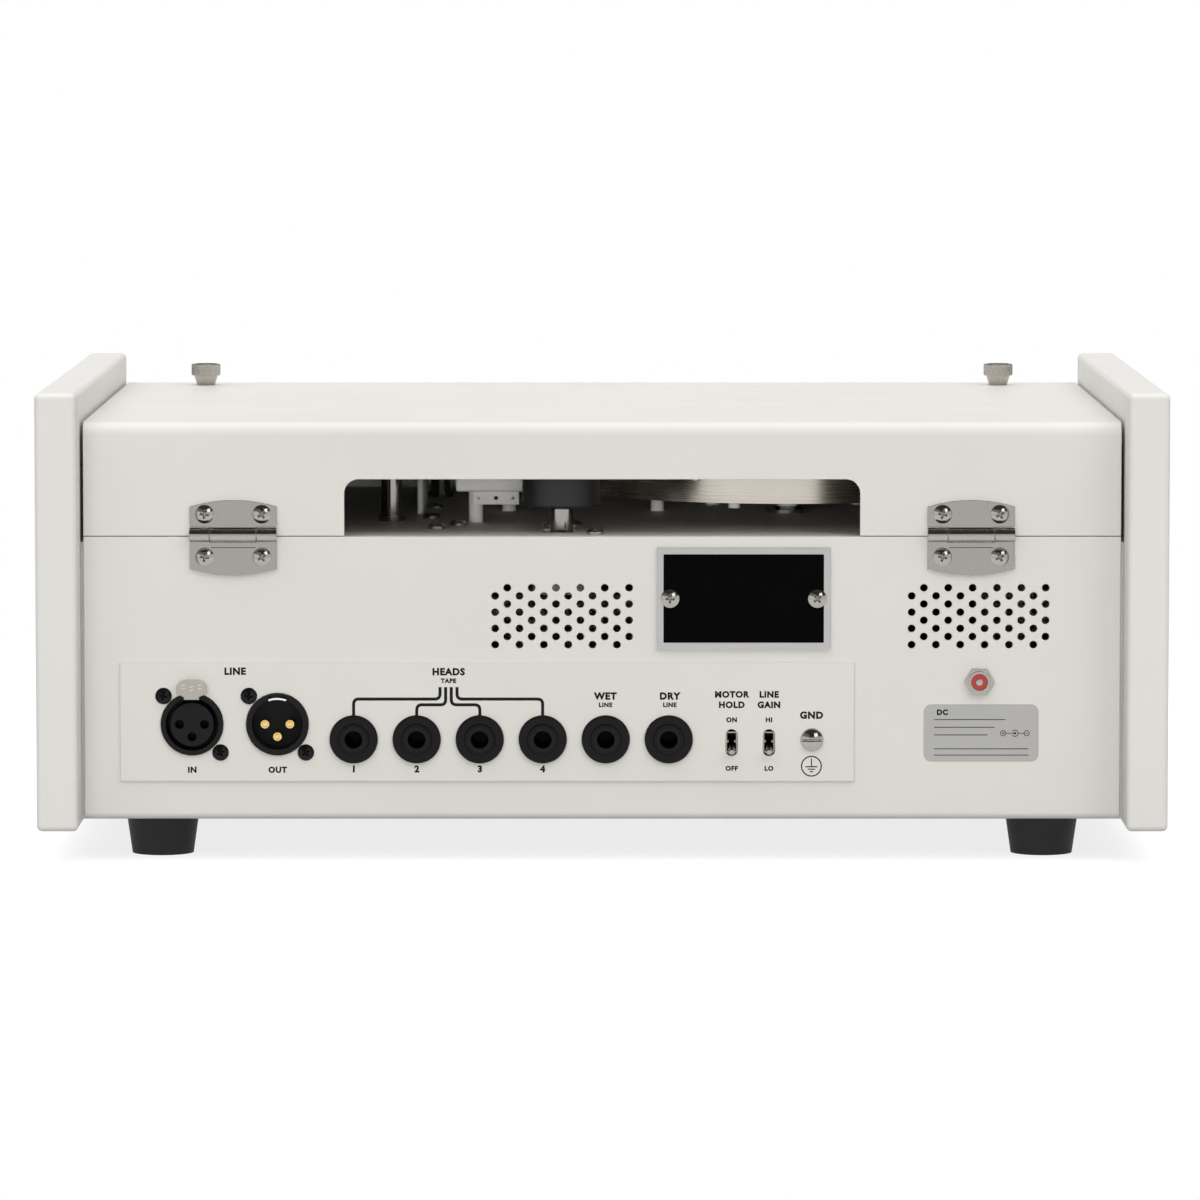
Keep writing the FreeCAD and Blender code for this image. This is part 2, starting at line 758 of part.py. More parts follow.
def deck_plate():
    """Flat plate under the tape transport, level with the split, with a hole that lets the heads' wires down."""
    deck = body("deck_plate")
    face = sketch(deck, "XY_Plane", "deck_outline", "split_z - deck_thick")
    half = f"{INNER_X} - sheet"
    rectangle(face, f"-({half})", "front_y + front_plate", half, "rear_y - sheet")
    pad(deck, face, "deck_thick")
    holes = sketch(deck, "XY_Plane", "deck_holes", "split_z - 2 * deck_thick")
    circle(holes, "capstan_x", "capstan_y", "bearing_wide")
    circle(holes, "tray_x", "tray_y", "bearing_wide")
    for x, y in DECK_SCREWS:
        circle(holes, x, y, "screw_shank + hole_gap")
    pocket(deck, holes, "4 * deck_thick", backwards=True)
    slot = sketch(deck, "XY_Plane", "deck_arm_slot", "split_z - 2 * deck_thick")
    wide = "(roller_post / 2 + 1)"
    reach = "(arm_pivot_x - capstan_x) * sin(arm_swing)"
    low, high = f"{ROLLER_Y} - {wide}", f"{ROLLER_Y} + {reach} + {wide}"
    rectangle(slot, f"capstan_x - {wide}", low, f"capstan_x + {wide} + 1.5", high)
    wires = "(case_wide / 2 - wire_hole_inset)"
    rear, front = "wire_hole_y + wire_hole_deep / 2", "wire_hole_y - wire_hole_deep / 2"
    rectangle(slot, f"{wires} - wire_hole_wide", front, wires, rear)
    pocket(deck, slot, "4 * deck_thick", backwards=True)
    return kept(deck, "deck_plate")


ROLLER_Y = "(capstan_y + capstan_wide / 2 + nip_gap + roller_wide / 2)"


def connector_plate():
    """Thin plate over the rear wall that the rear sockets are clamped through."""
    plate = body("connector_plate")
    face = sketch(plate, "XZ_Plane", "connector_outline", "-rear_y")
    rectangle(face, "plate_left_x", "plate_low_z", "plate_right_x", "plate_top_z")
    pad(plate, face, "plate_thick", backwards=True)
    holes = sketch(plate, "XZ_Plane", "connector_holes", "-rear_y + plate_thick")
    rear_holes(holes)
    pocket(plate, holes, "3 * plate_thick")
    return kept(plate, "connector_plate")


def nameplate():
    """Flat brushed plate with two screw holes."""
    plate = body("nameplate")
    face = sketch(plate, "XZ_Plane", "name_outline", "-rear_y")
    wide, tall = "name_wide / 2", "name_tall / 2"
    rectangle(face, f"name_x - {wide}", f"name_z - {tall}", f"name_x + {wide}", f"name_z + {tall}")
    pad(plate, face, "name_thick", backwards=True)
    holes = sketch(plate, "XZ_Plane", "name_holes", "-rear_y + name_thick")
    for way in (-1, 1):
        circle(holes, f"name_x + {way} * name_screw_x", "name_z", "screw_shank + hole_gap")
    pocket(plate, holes, "3 * name_thick")
    return kept(plate, "nameplate")


def rubber_feet():
    """Four tapered feet with a sunk screw seat underneath."""
    feet = []
    for i, (x, y) in enumerate(FEET):
        outer = cone(f"foot_{i}", "foot_narrow", "foot_wide", (x, y, "0"), "chassis_low")
        seat = rod(f"foot_seat_{i}", "foot_recess", (x, y, "-foot_sole"), "chassis_low")
        hole = rod(f"foot_hole_{i}", "screw_shank + hole_gap", (x, y, "0"), "chassis_low")
        feet.append(cut(f"foot_cut_{i}", outer, [fuse(f"foot_tool_{i}", [seat, hole])]))
    return kept(together("rubber_feet", feet), "rubber_feet")


def chassis_screws():
    """The pan-head screws of the feet, side panels, deck and front panel."""
    screws = []
    for i, (x, y) in enumerate(FEET):
        screws.append(screw(f"foot_screw_{i}", "foot_screw_head", (x, y, "chassis_low - foot_sole"), "Z", -1))
    for i, (x, y) in enumerate(DECK_SCREWS):
        screws.append(screw(f"deck_screw_{i}", "screw_head", (x, y, "split_z"), "Z", 1))
    for side in (-1, 1):
        for i, (y, z) in enumerate(SIDE_SCREWS):
            point = (f"{side} * ({INNER_X} - sheet)", y, z)
            screws.append(screw(f"panel_screw_{i}_{side + 1}", "screw_head", point, "X", -side))
    return kept(together("chassis_screws", screws), "chassis_screws")


# ---- lid -----------------------------------------------------------------------------------------
def lid():
    """Folded sheet cover, open underneath, with a window cut up from its rear edge."""
    cover = body("lid")
    low = "split_z + split_gap"
    profile = sketch(cover, "YZ_Plane", "lid_outer", f"-({WALL_X})")
    rectangle(profile, "lid_front_y", low, "rear_y", "lid_top")
    pad(cover, profile, f"2 * ({WALL_X})")
    fillet(cover, "lid_folds", "lid_round", lambda edge: runs_along(edge, "X") and
           edge.CenterOfMass.z > number("lid_top") - 0.05)
    inner = sketch(cover, "YZ_Plane", "lid_inner", f"-({WALL_X}) + sheet")
    rectangle(inner, "lid_front_y + sheet", f"{low} - sheet", "rear_y - sheet", "lid_top - sheet")
    pocket(cover, inner, f"2 * ({WALL_X}) - 2 * sheet", backwards=True)
    fillet(cover, "lid_inner_folds", "lid_round - sheet", lambda edge: runs_along(edge, "X") and
           abs(edge.CenterOfMass.z - number("lid_top - sheet")) < 0.05)
    window = sketch(cover, "XZ_Plane", "lid_window", "-rear_y + 2 * sheet")
    rectangle(window, "-window_wide / 2", f"{low} - sheet", "window_wide / 2", "window_top")
    pocket(cover, window, "4 * sheet")
    fillet(cover, "window_corners", "window_round", lambda edge: runs_along(edge, "Y") and
           abs(edge.CenterOfMass.z - number("window_top")) < 0.05)
    back = sketch(cover, "XZ_Plane", "lid_rear_holes", "-rear_y + 2 * sheet")
    for x in HINGES:
        for way in (-1, 1):
            circle(back, f"{x} + {way} * leaf_screw_x", "hinge_z + leaf_screw_up", "screw_shank + hole_gap")
    pocket(cover, back, "4 * sheet")
    top = sketch(cover, "XY_Plane", "lid_top_holes", "lid_top - 2 * sheet")
    for x in (f"-{THUMB_X}", THUMB_X):
        circle(top, x, "thumb_y", "thumb_shank + 2 * run_gap")
    pocket(cover, top, "4 * sheet", backwards=True)
    return kept(cover, "lid")


def leaf(name, x, way):
    """A hinge leaf with an arched outer edge; way is +1 for the lid's leaf and -1 for the base's."""
    reach = "leaf_up" if way > 0 else "leaf_down"
    flat = body(name)
    face = sketch(flat, "XZ_Plane", name + "_outline", "-rear_y")
    half = "hinge_wide / 2"
    start = f"hinge_z + {way} * (barrel_wide / 2 + 0.3)"
    tip = f"hinge_z + {way} * ({reach})"
    low, high = (start, tip) if way > 0 else (tip, start)
    rectangle(face, f"{x} - {half}", low, f"{x} + {half}", high)
    pad(flat, face, "leaf_thick", backwards=True)
    holes = sketch(flat, "XZ_Plane", name + "_holes", "-rear_y + leaf_thick")
    hole_z = "hinge_z + leaf_screw_up" if way > 0 else "hinge_z - leaf_screw_down"
    for side in (-1, 1):
        circle(holes, f"{x} + {side} * leaf_screw_x", hole_z, "screw_shank + hole_gap")
    pocket(flat, holes, "3 * leaf_thick")
    arch = f"({half} * {half} + leaf_bulge * leaf_bulge) / (2 * leaf_bulge)"
    middle = (x, "rear_y", f"({tip}) - {way} * ({arch})")
    return common(name + "_arched", [flat, rod(name + "_arch", f"2 * ({arch})", middle, "leaf_thick", "Y")])


def knuckles(name, x, way, spans):
    """Barrel sections and the webs that join them to their leaf."""
    pieces = []
    for i, (start, end) in enumerate(spans):
        long = f"({end}) - ({start})"
        pieces.append(rod(f"{name}_barrel_{i}", "barrel_wide", (f"{x} + {start}", "hinge_y", "hinge_z"), long, "X"))
        outer = "hinge_z + barrel_wide / 2 + 0.6" if way > 0 else "hinge_z"
        inner = "hinge_z" if way > 0 else "hinge_z - barrel_wide / 2 - 0.6"
        pieces.append(box(f"{name}_web_{i}", (f"{x} + {start}", "rear_y", inner),
                          (f"{x} + {end}", "rear_y + leaf_thick", outer)))
    return pieces


def hinge_leaves():
    """Lid leaves with a middle knuckle, base leaves with two end knuckles and a fixed pin."""
    lid_leaves, base_leaves = [], []
    for i, x in enumerate(HINGES):
        half, inner = "hinge_wide / 2", "(hinge_wide / 2 - knuckle)"
        end = (f"{x} - {half}", "hinge_y", "hinge_z")
        bore = rod(f"hinge_bore_{i}", "hinge_pin + 2 * run_gap", end, f"2 * {half}", "X")
        middle = knuckles(f"lid_knuckle_{i}", x, 1, [(f"-{inner} + touch_gap", f"{inner} - touch_gap")])
        lid_leaf = fuse(f"lid_leaf_{i}", [leaf(f"lid_leaf_plate_{i}", x, 1)] + middle)
        lid_leaves.append(cut(f"lid_leaf_bored_{i}", lid_leaf, [bore]))
        ends = knuckles(f"base_knuckle_{i}", x, -1, [(f"-{half}", f"-{inner}"), (inner, half)])
        pin = rod(f"hinge_pin_{i}", "hinge_pin", end, f"2 * {half}", "X")
        base_leaves.append(fuse(f"base_leaf_{i}", [leaf(f"base_leaf_plate_{i}", x, -1)] + ends + [pin]))
    kept(together("hinge_lid_leaves", lid_leaves), "hinge_lid_leaves")
    kept(together("hinge_base_leaves", base_leaves), "hinge_base_leaves")


def hinge_screws():
    """Screws of the lid leaves, then those of the base leaves and the nameplate."""
    lid_screws, base_screws = [], []
    for i, x in enumerate(HINGES):
        for side in (-1, 1):
            spot = f"{x} + {side} * leaf_screw_x"
            high = (spot, "rear_y + leaf_thick", "hinge_z + leaf_screw_up")
            low = (spot, "rear_y + leaf_thick", "hinge_z - leaf_screw_down")
            lid_screws.append(screw(f"lid_leaf_screw_{i}_{side + 1}", "screw_head", high, "Y", 1, "screw_long - 2"))
            base_screws.append(screw(f"base_leaf_screw_{i}_{side + 1}", "screw_head", low, "Y", 1, "screw_long - 2"))
    for side in (-1, 1):
        spot = (f"name_x + {side} * name_screw_x", "rear_y + name_thick", "name_z")
        base_screws.append(screw(f"name_screw_{side + 1}", "screw_head", spot, "Y", 1, "screw_long - 2"))
    kept(together("hinge_lid_screws", lid_screws), "hinge_lid_screws")
    kept(together("panel_screws", base_screws), "panel_screws")


def thumbscrew(name, x):
    """Knurled head on a tapered collar, with a shank that reaches into its post."""
    knurl_low = "thumb_tall - thumb_knurl"
    core = turned(name + "_core", [
        ("0", "-(sheet + touch_gap + thumb_reach)"),
        ("thumb_shank / 2", "-(sheet + touch_gap + thumb_reach)"),
        ("thumb_shank / 2", "0"),
        ("thumb_foot / 2", "0"),
        ("thumb_collar / 2", knurl_low),
        ("thumb_wide / 2 - 0.3", knurl_low),
        ("thumb_wide / 2", f"{knurl_low} + 0.3"),
        ("thumb_wide / 2", "thumb_tall - 0.3"),
        ("thumb_wide / 2 - 0.3", "thumb_tall"),
        ("0", "thumb_tall"),
    ], (x, "thumb_y", "lid_top"))
    return kept(core, name)


def lid_posts():
    """Two posts on the deck whose bores take the thumbscrews."""
    posts = []
    for i, x in enumerate((f"-{THUMB_X}", THUMB_X)):
        posts.append(turned(f"lid_post_{i}", [
            ("post_bore / 2", "0"),
            ("post_wide / 2 + 2", "0"),
            ("post_wide / 2 + 2", "2"),
            ("post_wide / 2", "3"),
            ("post_wide / 2", "lid_top - sheet - touch_gap - split_z"),
            ("post_bore / 2", "lid_top - sheet - touch_gap - split_z"),
        ], (x, "thumb_y", "split_z")))
    return kept(together("lid_posts", posts), "lid_posts")


# ---- rear sockets and switches ---------------------------------------------------------------------
FACE = "rear_y + plate_thick"
XLR_FACE = f"{FACE} + xlr_proud"


def xlr_shell(name, x):
    """Round shell through the wall with an inner clamp flange and two screw holes."""
    barrel = rod(name + "_barrel", "xlr_wide", (x, "rear_y - sheet - xlr_deep", "xlr_z"),
                 f"({XLR_FACE}) - (rear_y - sheet - xlr_deep)", "Y")
    wide = "xlr_flange / 2"
    flange = box(name + "_flange", (f"{x} - {wide}", "rear_y - sheet - xlr_flange_thick", f"xlr_z - {wide}"),
                 (f"{x} + {wide}", "rear_y - sheet", f"xlr_z + {wide}"))
    holes = []
    for way in (-1, 1):
        spot = (f"{x} + {way} * xlr_screw", "rear_y - sheet - 2 * xlr_flange_thick", f"xlr_z + {way} * xlr_screw")
        holes.append(rod(f"{name}_hole_{way + 1}", "screw_shank + hole_gap", spot, "3 * xlr_flange_thick", "Y"))
    return cut(name + "_drilled", fuse(name + "_blank", [barrel, flange]), holes)


def pin_places(x):
    return [(f"{x} - xlr_pin_pitch", "xlr_z"), (f"{x} + xlr_pin_pitch", "xlr_z"), (x, "xlr_z - xlr_pin_pitch")]


def xlr_input_socket():
    """Female socket: ring groove round a core with three contact holes, and a well for the latch."""
    x = "xlr_in_x"
    deep = "xlr_pin_long"
    cup = rod("xlr_in_cup", "xlr_cup + 0.6", (x, f"{XLR_FACE} - {deep}", "xlr_z"), f"{deep} + 1", "Y")
    core = rod("xlr_in_core", "xlr_core", (x, f"{XLR_FACE} - {deep} - 1", "xlr_z"), f"{deep} + 3", "Y")
    groove = cut("xlr_in_groove", cup, [core])
    tools = [groove]
    for i, (px, pz) in enumerate(pin_places(x)):
        tools.append(rod(f"xlr_in_contact_{i}", "xlr_pin + 0.3", (px, f"{XLR_FACE} - {deep}", pz), f"{deep} + 1", "Y"))
    neck = "(latch_neck / 2 + hole_gap)"
    tools.append(box("xlr_in_latch_well", (f"{x} - {neck}", f"{XLR_FACE} - 7", "xlr_z + xlr_cup / 2 - 0.5"),
                     (f"{x} + {neck}", f"{XLR_FACE} + 1", "xlr_z + xlr_wide / 2 + 1")))
    return kept(cut("xlr_input_socket", xlr_shell("xlr_in", x), tools), "xlr_input_socket")


def xlr_latch():
    """Push tab with a neck that runs in the socket's well."""
    x = "xlr_in_x"
    back = f"{XLR_FACE} + latch_travel + touch_gap"
    low = "xlr_z + xlr_wide / 2 - 1.1"
    tab = body("latch_tab")
    face = sketch(tab, "XZ_Plane", "latch_tab_outline", f"-({back})")
    right = [("0.25", "0"), ("0.5", "latch_tall * 0.2"), ("0.5", "latch_tall * 0.62"),
             ("0.38", "latch_tall * 0.9"), ("0.2", "latch_tall")]
    corners = [(f"{x} + {part} * latch_wide", f"{low} + {up}") for part, up in right]
    corners += [(f"{x} - {part} * latch_wide", f"{low} + {up}") for part, up in reversed(right)]
    outline(face, corners)
    pad(tab, face, "latch_thick", backwards=True)
    neck = box("latch_neck_bar", (f"{x} - latch_neck / 2", back, "xlr_z + xlr_cup / 2"),
               (f"{x} + latch_neck / 2", f"{back} + latch_thick", f"{low} + 1"))
    stem = box("latch_stem", (f"{x} - latch_neck / 2", f"{XLR_FACE} - 5.5", "xlr_z + xlr_cup / 2"),
               (f"{x} + latch_neck / 2", f"{back} + 0.2", "xlr_z + xlr_wide / 2 - 0.2"))
    rounded = round_edges("latch_tab_round", tab, "0.7", lambda edge: runs_along(edge, "Y"))
    return kept(fuse("xlr_latch", [rounded, neck, stem]), "xlr_latch")


def xlr_output_socket():
    """Male socket: open cup with a latch notch at its top."""
    x = "xlr_out_x"
    cup = rod("xlr_out_cup", "xlr_cup", (x, f"{XLR_FACE} - xlr_pin_long - 1", "xlr_z"), "xlr_pin_long + 3", "Y")
    notch = box("xlr_out_notch", (f"{x} - 3.2", f"{XLR_FACE} - 6", "xlr_z + xlr_cup / 2 - 0.7"),
                (f"{x} + 3.2", f"{XLR_FACE} + 1", "xlr_z + xlr_cup / 2 + 0.9"))
    return kept(cut("xlr_output_socket", xlr_shell("xlr_out", x), [cup, notch]), "xlr_output_socket")


def xlr_output_pins():
    """Three contact pins that stand on the floor of the cup."""
    pins = []
    start = f"{XLR_FACE} - xlr_pin_long - 1"
    for i, (px, pz) in enumerate(pin_places("xlr_out_x")):
        straight = rod(f"pin_straight_{i}", "xlr_pin", (px, start, pz), "xlr_pin_long - 1", "Y")
        nose = cone(f"pin_nose_{i}", "xlr_pin", "xlr_pin * 0.5", (px, f"{start} + xlr_pin_long - 1", pz), "1", "Y")
        pins.append(fuse(f"pin_{i}", [straight, nose]))
    return kept(together("xlr_output_pins", pins), "xlr_output_pins")


def xlr_screws():
    screws = []
    for x in ("xlr_in_x", "xlr_out_x"):
        for way in (-1, 1):
            spot = (f"{x} + {way} * xlr_screw", FACE, f"xlr_z + {way} * xlr_screw")
            screws.append(screw(f"xlr_screw_{x}_{way + 1}", "xlr_screw_head", spot, "Y", 1))
    return kept(together("xlr_screws", screws), "xlr_screws")


def jack_spots():
    """Axis, outer face and outward direction of each jack: six behind, two in front."""
    rear = [(x, "jack_z", FACE, 1, "sheet + plate_thick") for x in REAR_JACKS]
    front = [(x, "front_jack_z", "front_y", -1, "front_plate") for x in FRONT_JACKS]
    return rear + front


def jack_sockets():
    """Threaded bush with a plug bore on a moulded body."""
    sockets = []
    for i, (x, z, face, out, wall) in enumerate(jack_spots()):
        inner = f"{face} - {out} * ({wall})"
        tip = f"{face} + {out} * jack_ring_tall"
        back = f"{inner} - {out} * jack_body_deep"
        low, high = (back, inner) if out > 0 else (inner, back)
        half = "jack_body_wide / 2"
        moulding = box(f"jack_body_{i}", (f"{x} - {half}", low, f"{z} - {half}"), (f"{x} + {half}", high, f"{z} + {half}"))
        start, end = (inner, tip) if out > 0 else (tip, inner)
        bush = rod(f"jack_bush_{i}", "jack_bush", (x, start, z), f"({end}) - ({start})", "Y")
        floor, mouth = (f"{back} + 2", f"{tip} + 1") if out > 0 else (f"{tip} - 1", f"{back} - 2")
        bore = rod(f"jack_bore_{i}", "jack_bore", (x, floor, z), f"({mouth}) - ({floor})", "Y")
        sockets.append(cut(f"jack_{i}", fuse(f"jack_blank_{i}", [moulding, bush]), [bore]))
    return kept(together("jack_sockets", sockets), "jack_sockets")


def jack_nuts():
    """Round dress nuts with a raised ring and two flats for a spanner."""
    nuts = []
    for i, (x, z, face, out, _) in enumerate(jack_spots()):
        bore = "jack_bush / 2 + run_gap"
        profile = [
            (bore, "0"),
            ("jack_nut / 2", "0"),
            ("jack_nut / 2", "jack_nut_thick - 0.4"),
            ("jack_nut / 2 - 0.6", "jack_nut_thick"),
            ("jack_ring / 2", "jack_nut_thick"),
            ("jack_ring / 2 - 0.3", "jack_ring_tall"),
            (bore, "jack_ring_tall"),
        ]
        if out < 0:
            profile = [(r, f"-({height})") for r, height in profile]
        nut = turned(f"jack_nut_{i}", profile, (x, face, z), "Y")
        start, end = f"{face} + {out} * jack_flange", f"{face} + {out} * 2 * jack_ring_tall"
        low, high = (start, end) if out > 0 else (end, start)
        flats = [
            box(f"jack_flat_high_{i}", (f"{x} - jack_nut", low, f"{z} + jack_flat"), (f"{x} + jack_nut", high, f"{z} + jack_nut")),
            box(f"jack_flat_low_{i}", (f"{x} - jack_nut", low, f"{z} - jack_nut"), (f"{x} + jack_nut", high, f"{z} - jack_flat")),
        ]
        nuts.append(cut(f"jack_nut_flatted_{i}", nut, flats))
    return kept(together("jack_nuts", nuts), "jack_nuts")


def switch_spots():
    """Axis, outer face and outward direction of the two rear switches and the front one."""
    rear = [(x, "switch_z", FACE, 1, "sheet + plate_thick") for x in ("switch_one_x", "switch_two_x")]
    return rear + [(POWER_X, "power_z", "front_y", -1, "front_plate")]


def toggle_switch_bodies():
    """Switch housings clamped behind the walls, open in front for the lever."""
    switches = []
    for i, (x, z, face, out, wall) in enumerate(switch_spots()):
        inner = f"{face} - {out} * ({wall})"
        back = f"{inner} - {out} * switch_deep"
        low, high = (back, inner) if out > 0 else (inner, back)
        half, tall = "switch_wide / 2", "switch_tall / 2"
        shell = box(f"switch_shell_{i}", (f"{x} - {half}", low, f"{z} - {tall}"), (f"{x} + {half}", high, f"{z} + {tall}"))
        floor = f"{inner} - {out} * (lever_back + 3.5)"
        start, end = (floor, f"{inner} + 1") if out > 0 else (f"{inner} - 1", floor)
        slot, long = "slot_wide / 2", "slot_tall / 2"
        well = box(f"switch_well_{i}", (f"{x} - {slot}", start, f"{z} - {long}"), (f"{x} + {slot}", end, f"{z} + {long}"))
        solid = cut(f"switch_{i}", shell, [well])
        if out < 0:
            bush = rod(f"switch_bush_{i}", "shaft_bush", (x, f"{face} - 5", z), f"({inner}) - ({face}) + 5", "Y")
            nut = rod(f"switch_nut_{i}", "shaft_bush + 4", (x, f"{face} - 2", z), "2", "Y")
            throat = cone(f"switch_throat_{i}", "shaft_bush - 1.6", "lever_wide + 2.4", (x, f"{face} - 5", z),
                          f"({inner}) - ({face}) + 5", "Y")
            collar = cut(f"switch_collar_{i}", fuse(f"switch_collar_blank_{i}", [bush, nut]), [throat])
            solid = together(f"switch_pair_{i}", [solid, collar])
        switches.append(solid)
    return kept(together("toggle_switch_bodies", switches), "toggle_switch_bodies")


def toggle_lever(name, spot):
    """Tapered lever with a rounded end and a pivot ball, tilted down at rest."""
    x, z, face, out, wall = spot
    reach = "lever_back + sheet + plate_thick + lever_long" if out > 0 else "lever_back + front_plate + power_lever_long"
    pivot = f"{face} - {out} * ({wall} + lever_back)"
    lever = turned(name + "_turned", [
        ("0", "-1.4"),
        ("1.0", "-1.4"),
        ("1.7", "-0.7"),
        ("1.7", "0.7"),
        ("1.0", "1.4"),
        ("lever_wide * 0.36", f"{reach} * 0.4"),
        ("lever_wide / 2", f"{reach} - 2.2"),
        ("lever_wide / 2", f"{reach} - 0.9"),
        ("lever_wide * 0.32", f"{reach} - 0.2"),
        ("0", reach),
    ], (x, pivot, z))
    turn = number("-90 - lever_tilt" if out > 0 else "90 + power_tilt")
    lever.Placement = FreeCAD.Placement(lever.Placement.Base, FreeCAD.Rotation(FreeCAD.Vector(1, 0, 0), turn))
    half = "(slot_wide / 2 - 2 * hole_gap)"
    pin = rod(name + "_pin", "lever_pin", (f"{x} - {half}", pivot, z), f"2 * {half}", "X")
    return kept(fuse(name + "_solid", [lever, pin]), name)


def toggle_levers():
    for name, spot in zip(("auto_stop_lever", "output_level_lever", "power_switch_lever"), switch_spots()):
        toggle_lever(name, spot)


def earth_terminal():
    """Domed screw on a washer with its shank through the wall and a nut behind."""
    terminal = turned("earth_terminal", [
        ("0", "-(sheet + plate_thick + 6)"),
        ("earth_shank / 2", "-(sheet + plate_thick + 6)"),
        ("earth_shank / 2", "-(sheet + plate_thick + 3)"),
        ("earth_shank", "-(sheet + plate_thick + 3)"),
        ("earth_shank", "-(sheet + plate_thick)"),
        ("earth_shank / 2", "-(sheet + plate_thick)"),
        ("earth_shank / 2", "0"),
        ("earth_wide / 2 + 0.4", "0"),
        ("earth_wide / 2 + 0.4", "0.6"),
        ("earth_wide / 2", "0.6"),
        ("earth_wide / 2 - 0.3", "earth_tall * 0.55"),
        ("earth_wide * 0.34", "earth_tall * 0.85"),
        ("earth_wide * 0.16", "earth_tall * 0.97"),
        ("0", "earth_tall"),
    ], ("earth_x", FACE, "earth_z"), "Y")
    return kept(terminal, "earth_terminal")


def dc_inlet():
    """Threaded inlet with a six-sided nut; a red insulator carries the centre pin."""
    hexagon = DOC.addObject("Part::Prism", "inlet_nut")
    hexagon.Polygon = 6
    bind(hexagon, "Circumradius", "inlet_flats / sqrt(3)")
    bind(hexagon, "Height", "inlet_proud - 0.6")
    place(hexagon, ("inlet_x", "rear_y", "inlet_z"), "Y")
    bush = rod("inlet_bush_rod", "inlet_bush", ("inlet_x", "rear_y - sheet - inlet_deep", "inlet_z"),
               "inlet_proud + sheet + inlet_deep", "Y")
    collar = rod("inlet_collar", "inlet_bush + 3", ("inlet_x", "rear_y - sheet - 2", "inlet_z"), "2", "Y")
    bore = rod("inlet_hollow", "inlet_bore + 2 * run_gap", ("inlet_x", "rear_y - sheet - inlet_deep + 2", "inlet_z"),
               "inlet_proud + sheet + inlet_deep", "Y")
    kept(cut("dc_inlet", fuse("inlet_blank", [hexagon, bush, collar]), [bore]), "dc_inlet")
    insulator = turned("dc_inlet_insulator", [
        ("0", "0"),
        ("inlet_bore / 2", "0"),
        ("inlet_bore / 2", "inlet_deep + sheet - 2 + inlet_proud - 0.8"),
        ("inlet_pin / 2", "inlet_deep + sheet - 2 + inlet_proud - 0.8"),
        ("inlet_pin / 2", "inlet_deep + sheet - 2 + inlet_proud - 0.2"),
        ("0", "inlet_deep + sheet - 2 + inlet_proud"),
    ], ("inlet_x", "rear_y - sheet - inlet_deep + 2", "inlet_z"), "Y")
    kept(insulator, "dc_inlet_insulator")


# ---- tape path -------------------------------------------------------------------------------------
PAD_ROUND = "(pad_thick / 2)"
GUIDE_REACH = "(guide_wide / 2 + guide_gap)"


def tape_stops():
    """Centre, radius of the tape's inner side and turn (+1 left, -1 right) along the tape's way."""
    pad_x = number(f"head_line_x + guide_gap + {PAD_ROUND}")
    guide = number(GUIDE_REACH)
    pack = (number("tray_x"), number("tray_y"), number("pack_wide / 2"), -1)
    return [
        pack,
        (number("capstan_x"), number("capstan_y"), number("capstan_wide / 2 + nip_gap / 2 - tape_thick / 2"), -1),
        (number("guide_rear_x"), number("guide_rear_y"), guide, -1),
        (number("guide_side_x"), number("guide_side_y"), guide, 1),
        (pad_x, number(f"pad_rear_y - {PAD_ROUND}"), number(f"guide_gap + {PAD_ROUND}"), 1),
        (number(f"head_line_x - {GUIDE_REACH}"), number("guide_front_y"), guide, -1),
        pack,
    ]


def tangent(one, two):
    """End points of the line that leaves one circle and meets the next, each with its own turn."""
    ax, ay, ar, aturn = one
    bx, by, br, bturn = two
    gap = math.hypot(bx - ax, by - ay)
    heading = math.atan2(by - ay, bx - ax)
    heading += math.asin((aturn * ar - bturn * br) / gap)
    side_x, side_y = math.sin(heading), -math.cos(heading)
    start = FreeCAD.Vector(ax + aturn * ar * side_x, ay + aturn * ar * side_y, 0)
    end = FreeCAD.Vector(bx + bturn * br * side_x, by + bturn * br * side_y, 0)
    return start, end


def path_edges(stops, closed=False):
    """Straight runs and the arcs between them, as edges in order."""
    pairs = list(zip(stops, stops[1:] + stops[:1])) if closed else list(zip(stops, stops[1:]))
    runs = [tangent(one, two) for one, two in pairs]
    edges = []
    for i, (start, end) in enumerate(runs):
        edges.append(Part.LineSegment(start, end).toShape())
        if i + 1 == len(runs) and not closed:
            break
        x, y, radius, _ = pairs[i][1]
        leave = runs[(i + 1) % len(runs)][0]
        centre = FreeCAD.Vector(x, y, 0)
        middle = (end - centre) + (leave - centre)
        middle.normalize()
        edges.append(Part.Arc(end, centre + middle * radius, leave).toShape())
    return edges


def ribbon(stops, thick, low, tall):
    """A strip of even thickness that follows an open way."""
    near_side = path_edges(stops)
    far_side = path_edges(stops_shifted(stops, thick))
    first = near_side[0].Vertexes[0].Point
    last = near_side[-1].Vertexes[-1].Point
    caps = [Part.LineSegment(far_side[0].Vertexes[0].Point, first).toShape(),
            Part.LineSegment(last, far_side[-1].Vertexes[-1].Point).toShape()]
    face = Part.Face(Part.Wire(Part.__sortEdges__(near_side + far_side + caps)))
    strip = face.extrude(FreeCAD.Vector(0, 0, tall))
    strip.translate(FreeCAD.Vector(0, 0, low))
    return strip


def stops_shifted(stops, amount):
    """Every stop's radius grown or shrunk so that the line moves left by an amount."""
    return [(x, y, radius - turn * amount, turn) for x, y, radius, turn in stops]


def feature(label, shape):
    item = DOC.addObject("Part::Feature", label)
    item.Shape = shape
    return kept(item, label)


def tape_run():
    """The length of tape outside its pack."""
    strip = ribbon(tape_stops(), number("tape_thick"), number("tape_low"), number("tape_tall"))
    return feature("tape_run", strip)


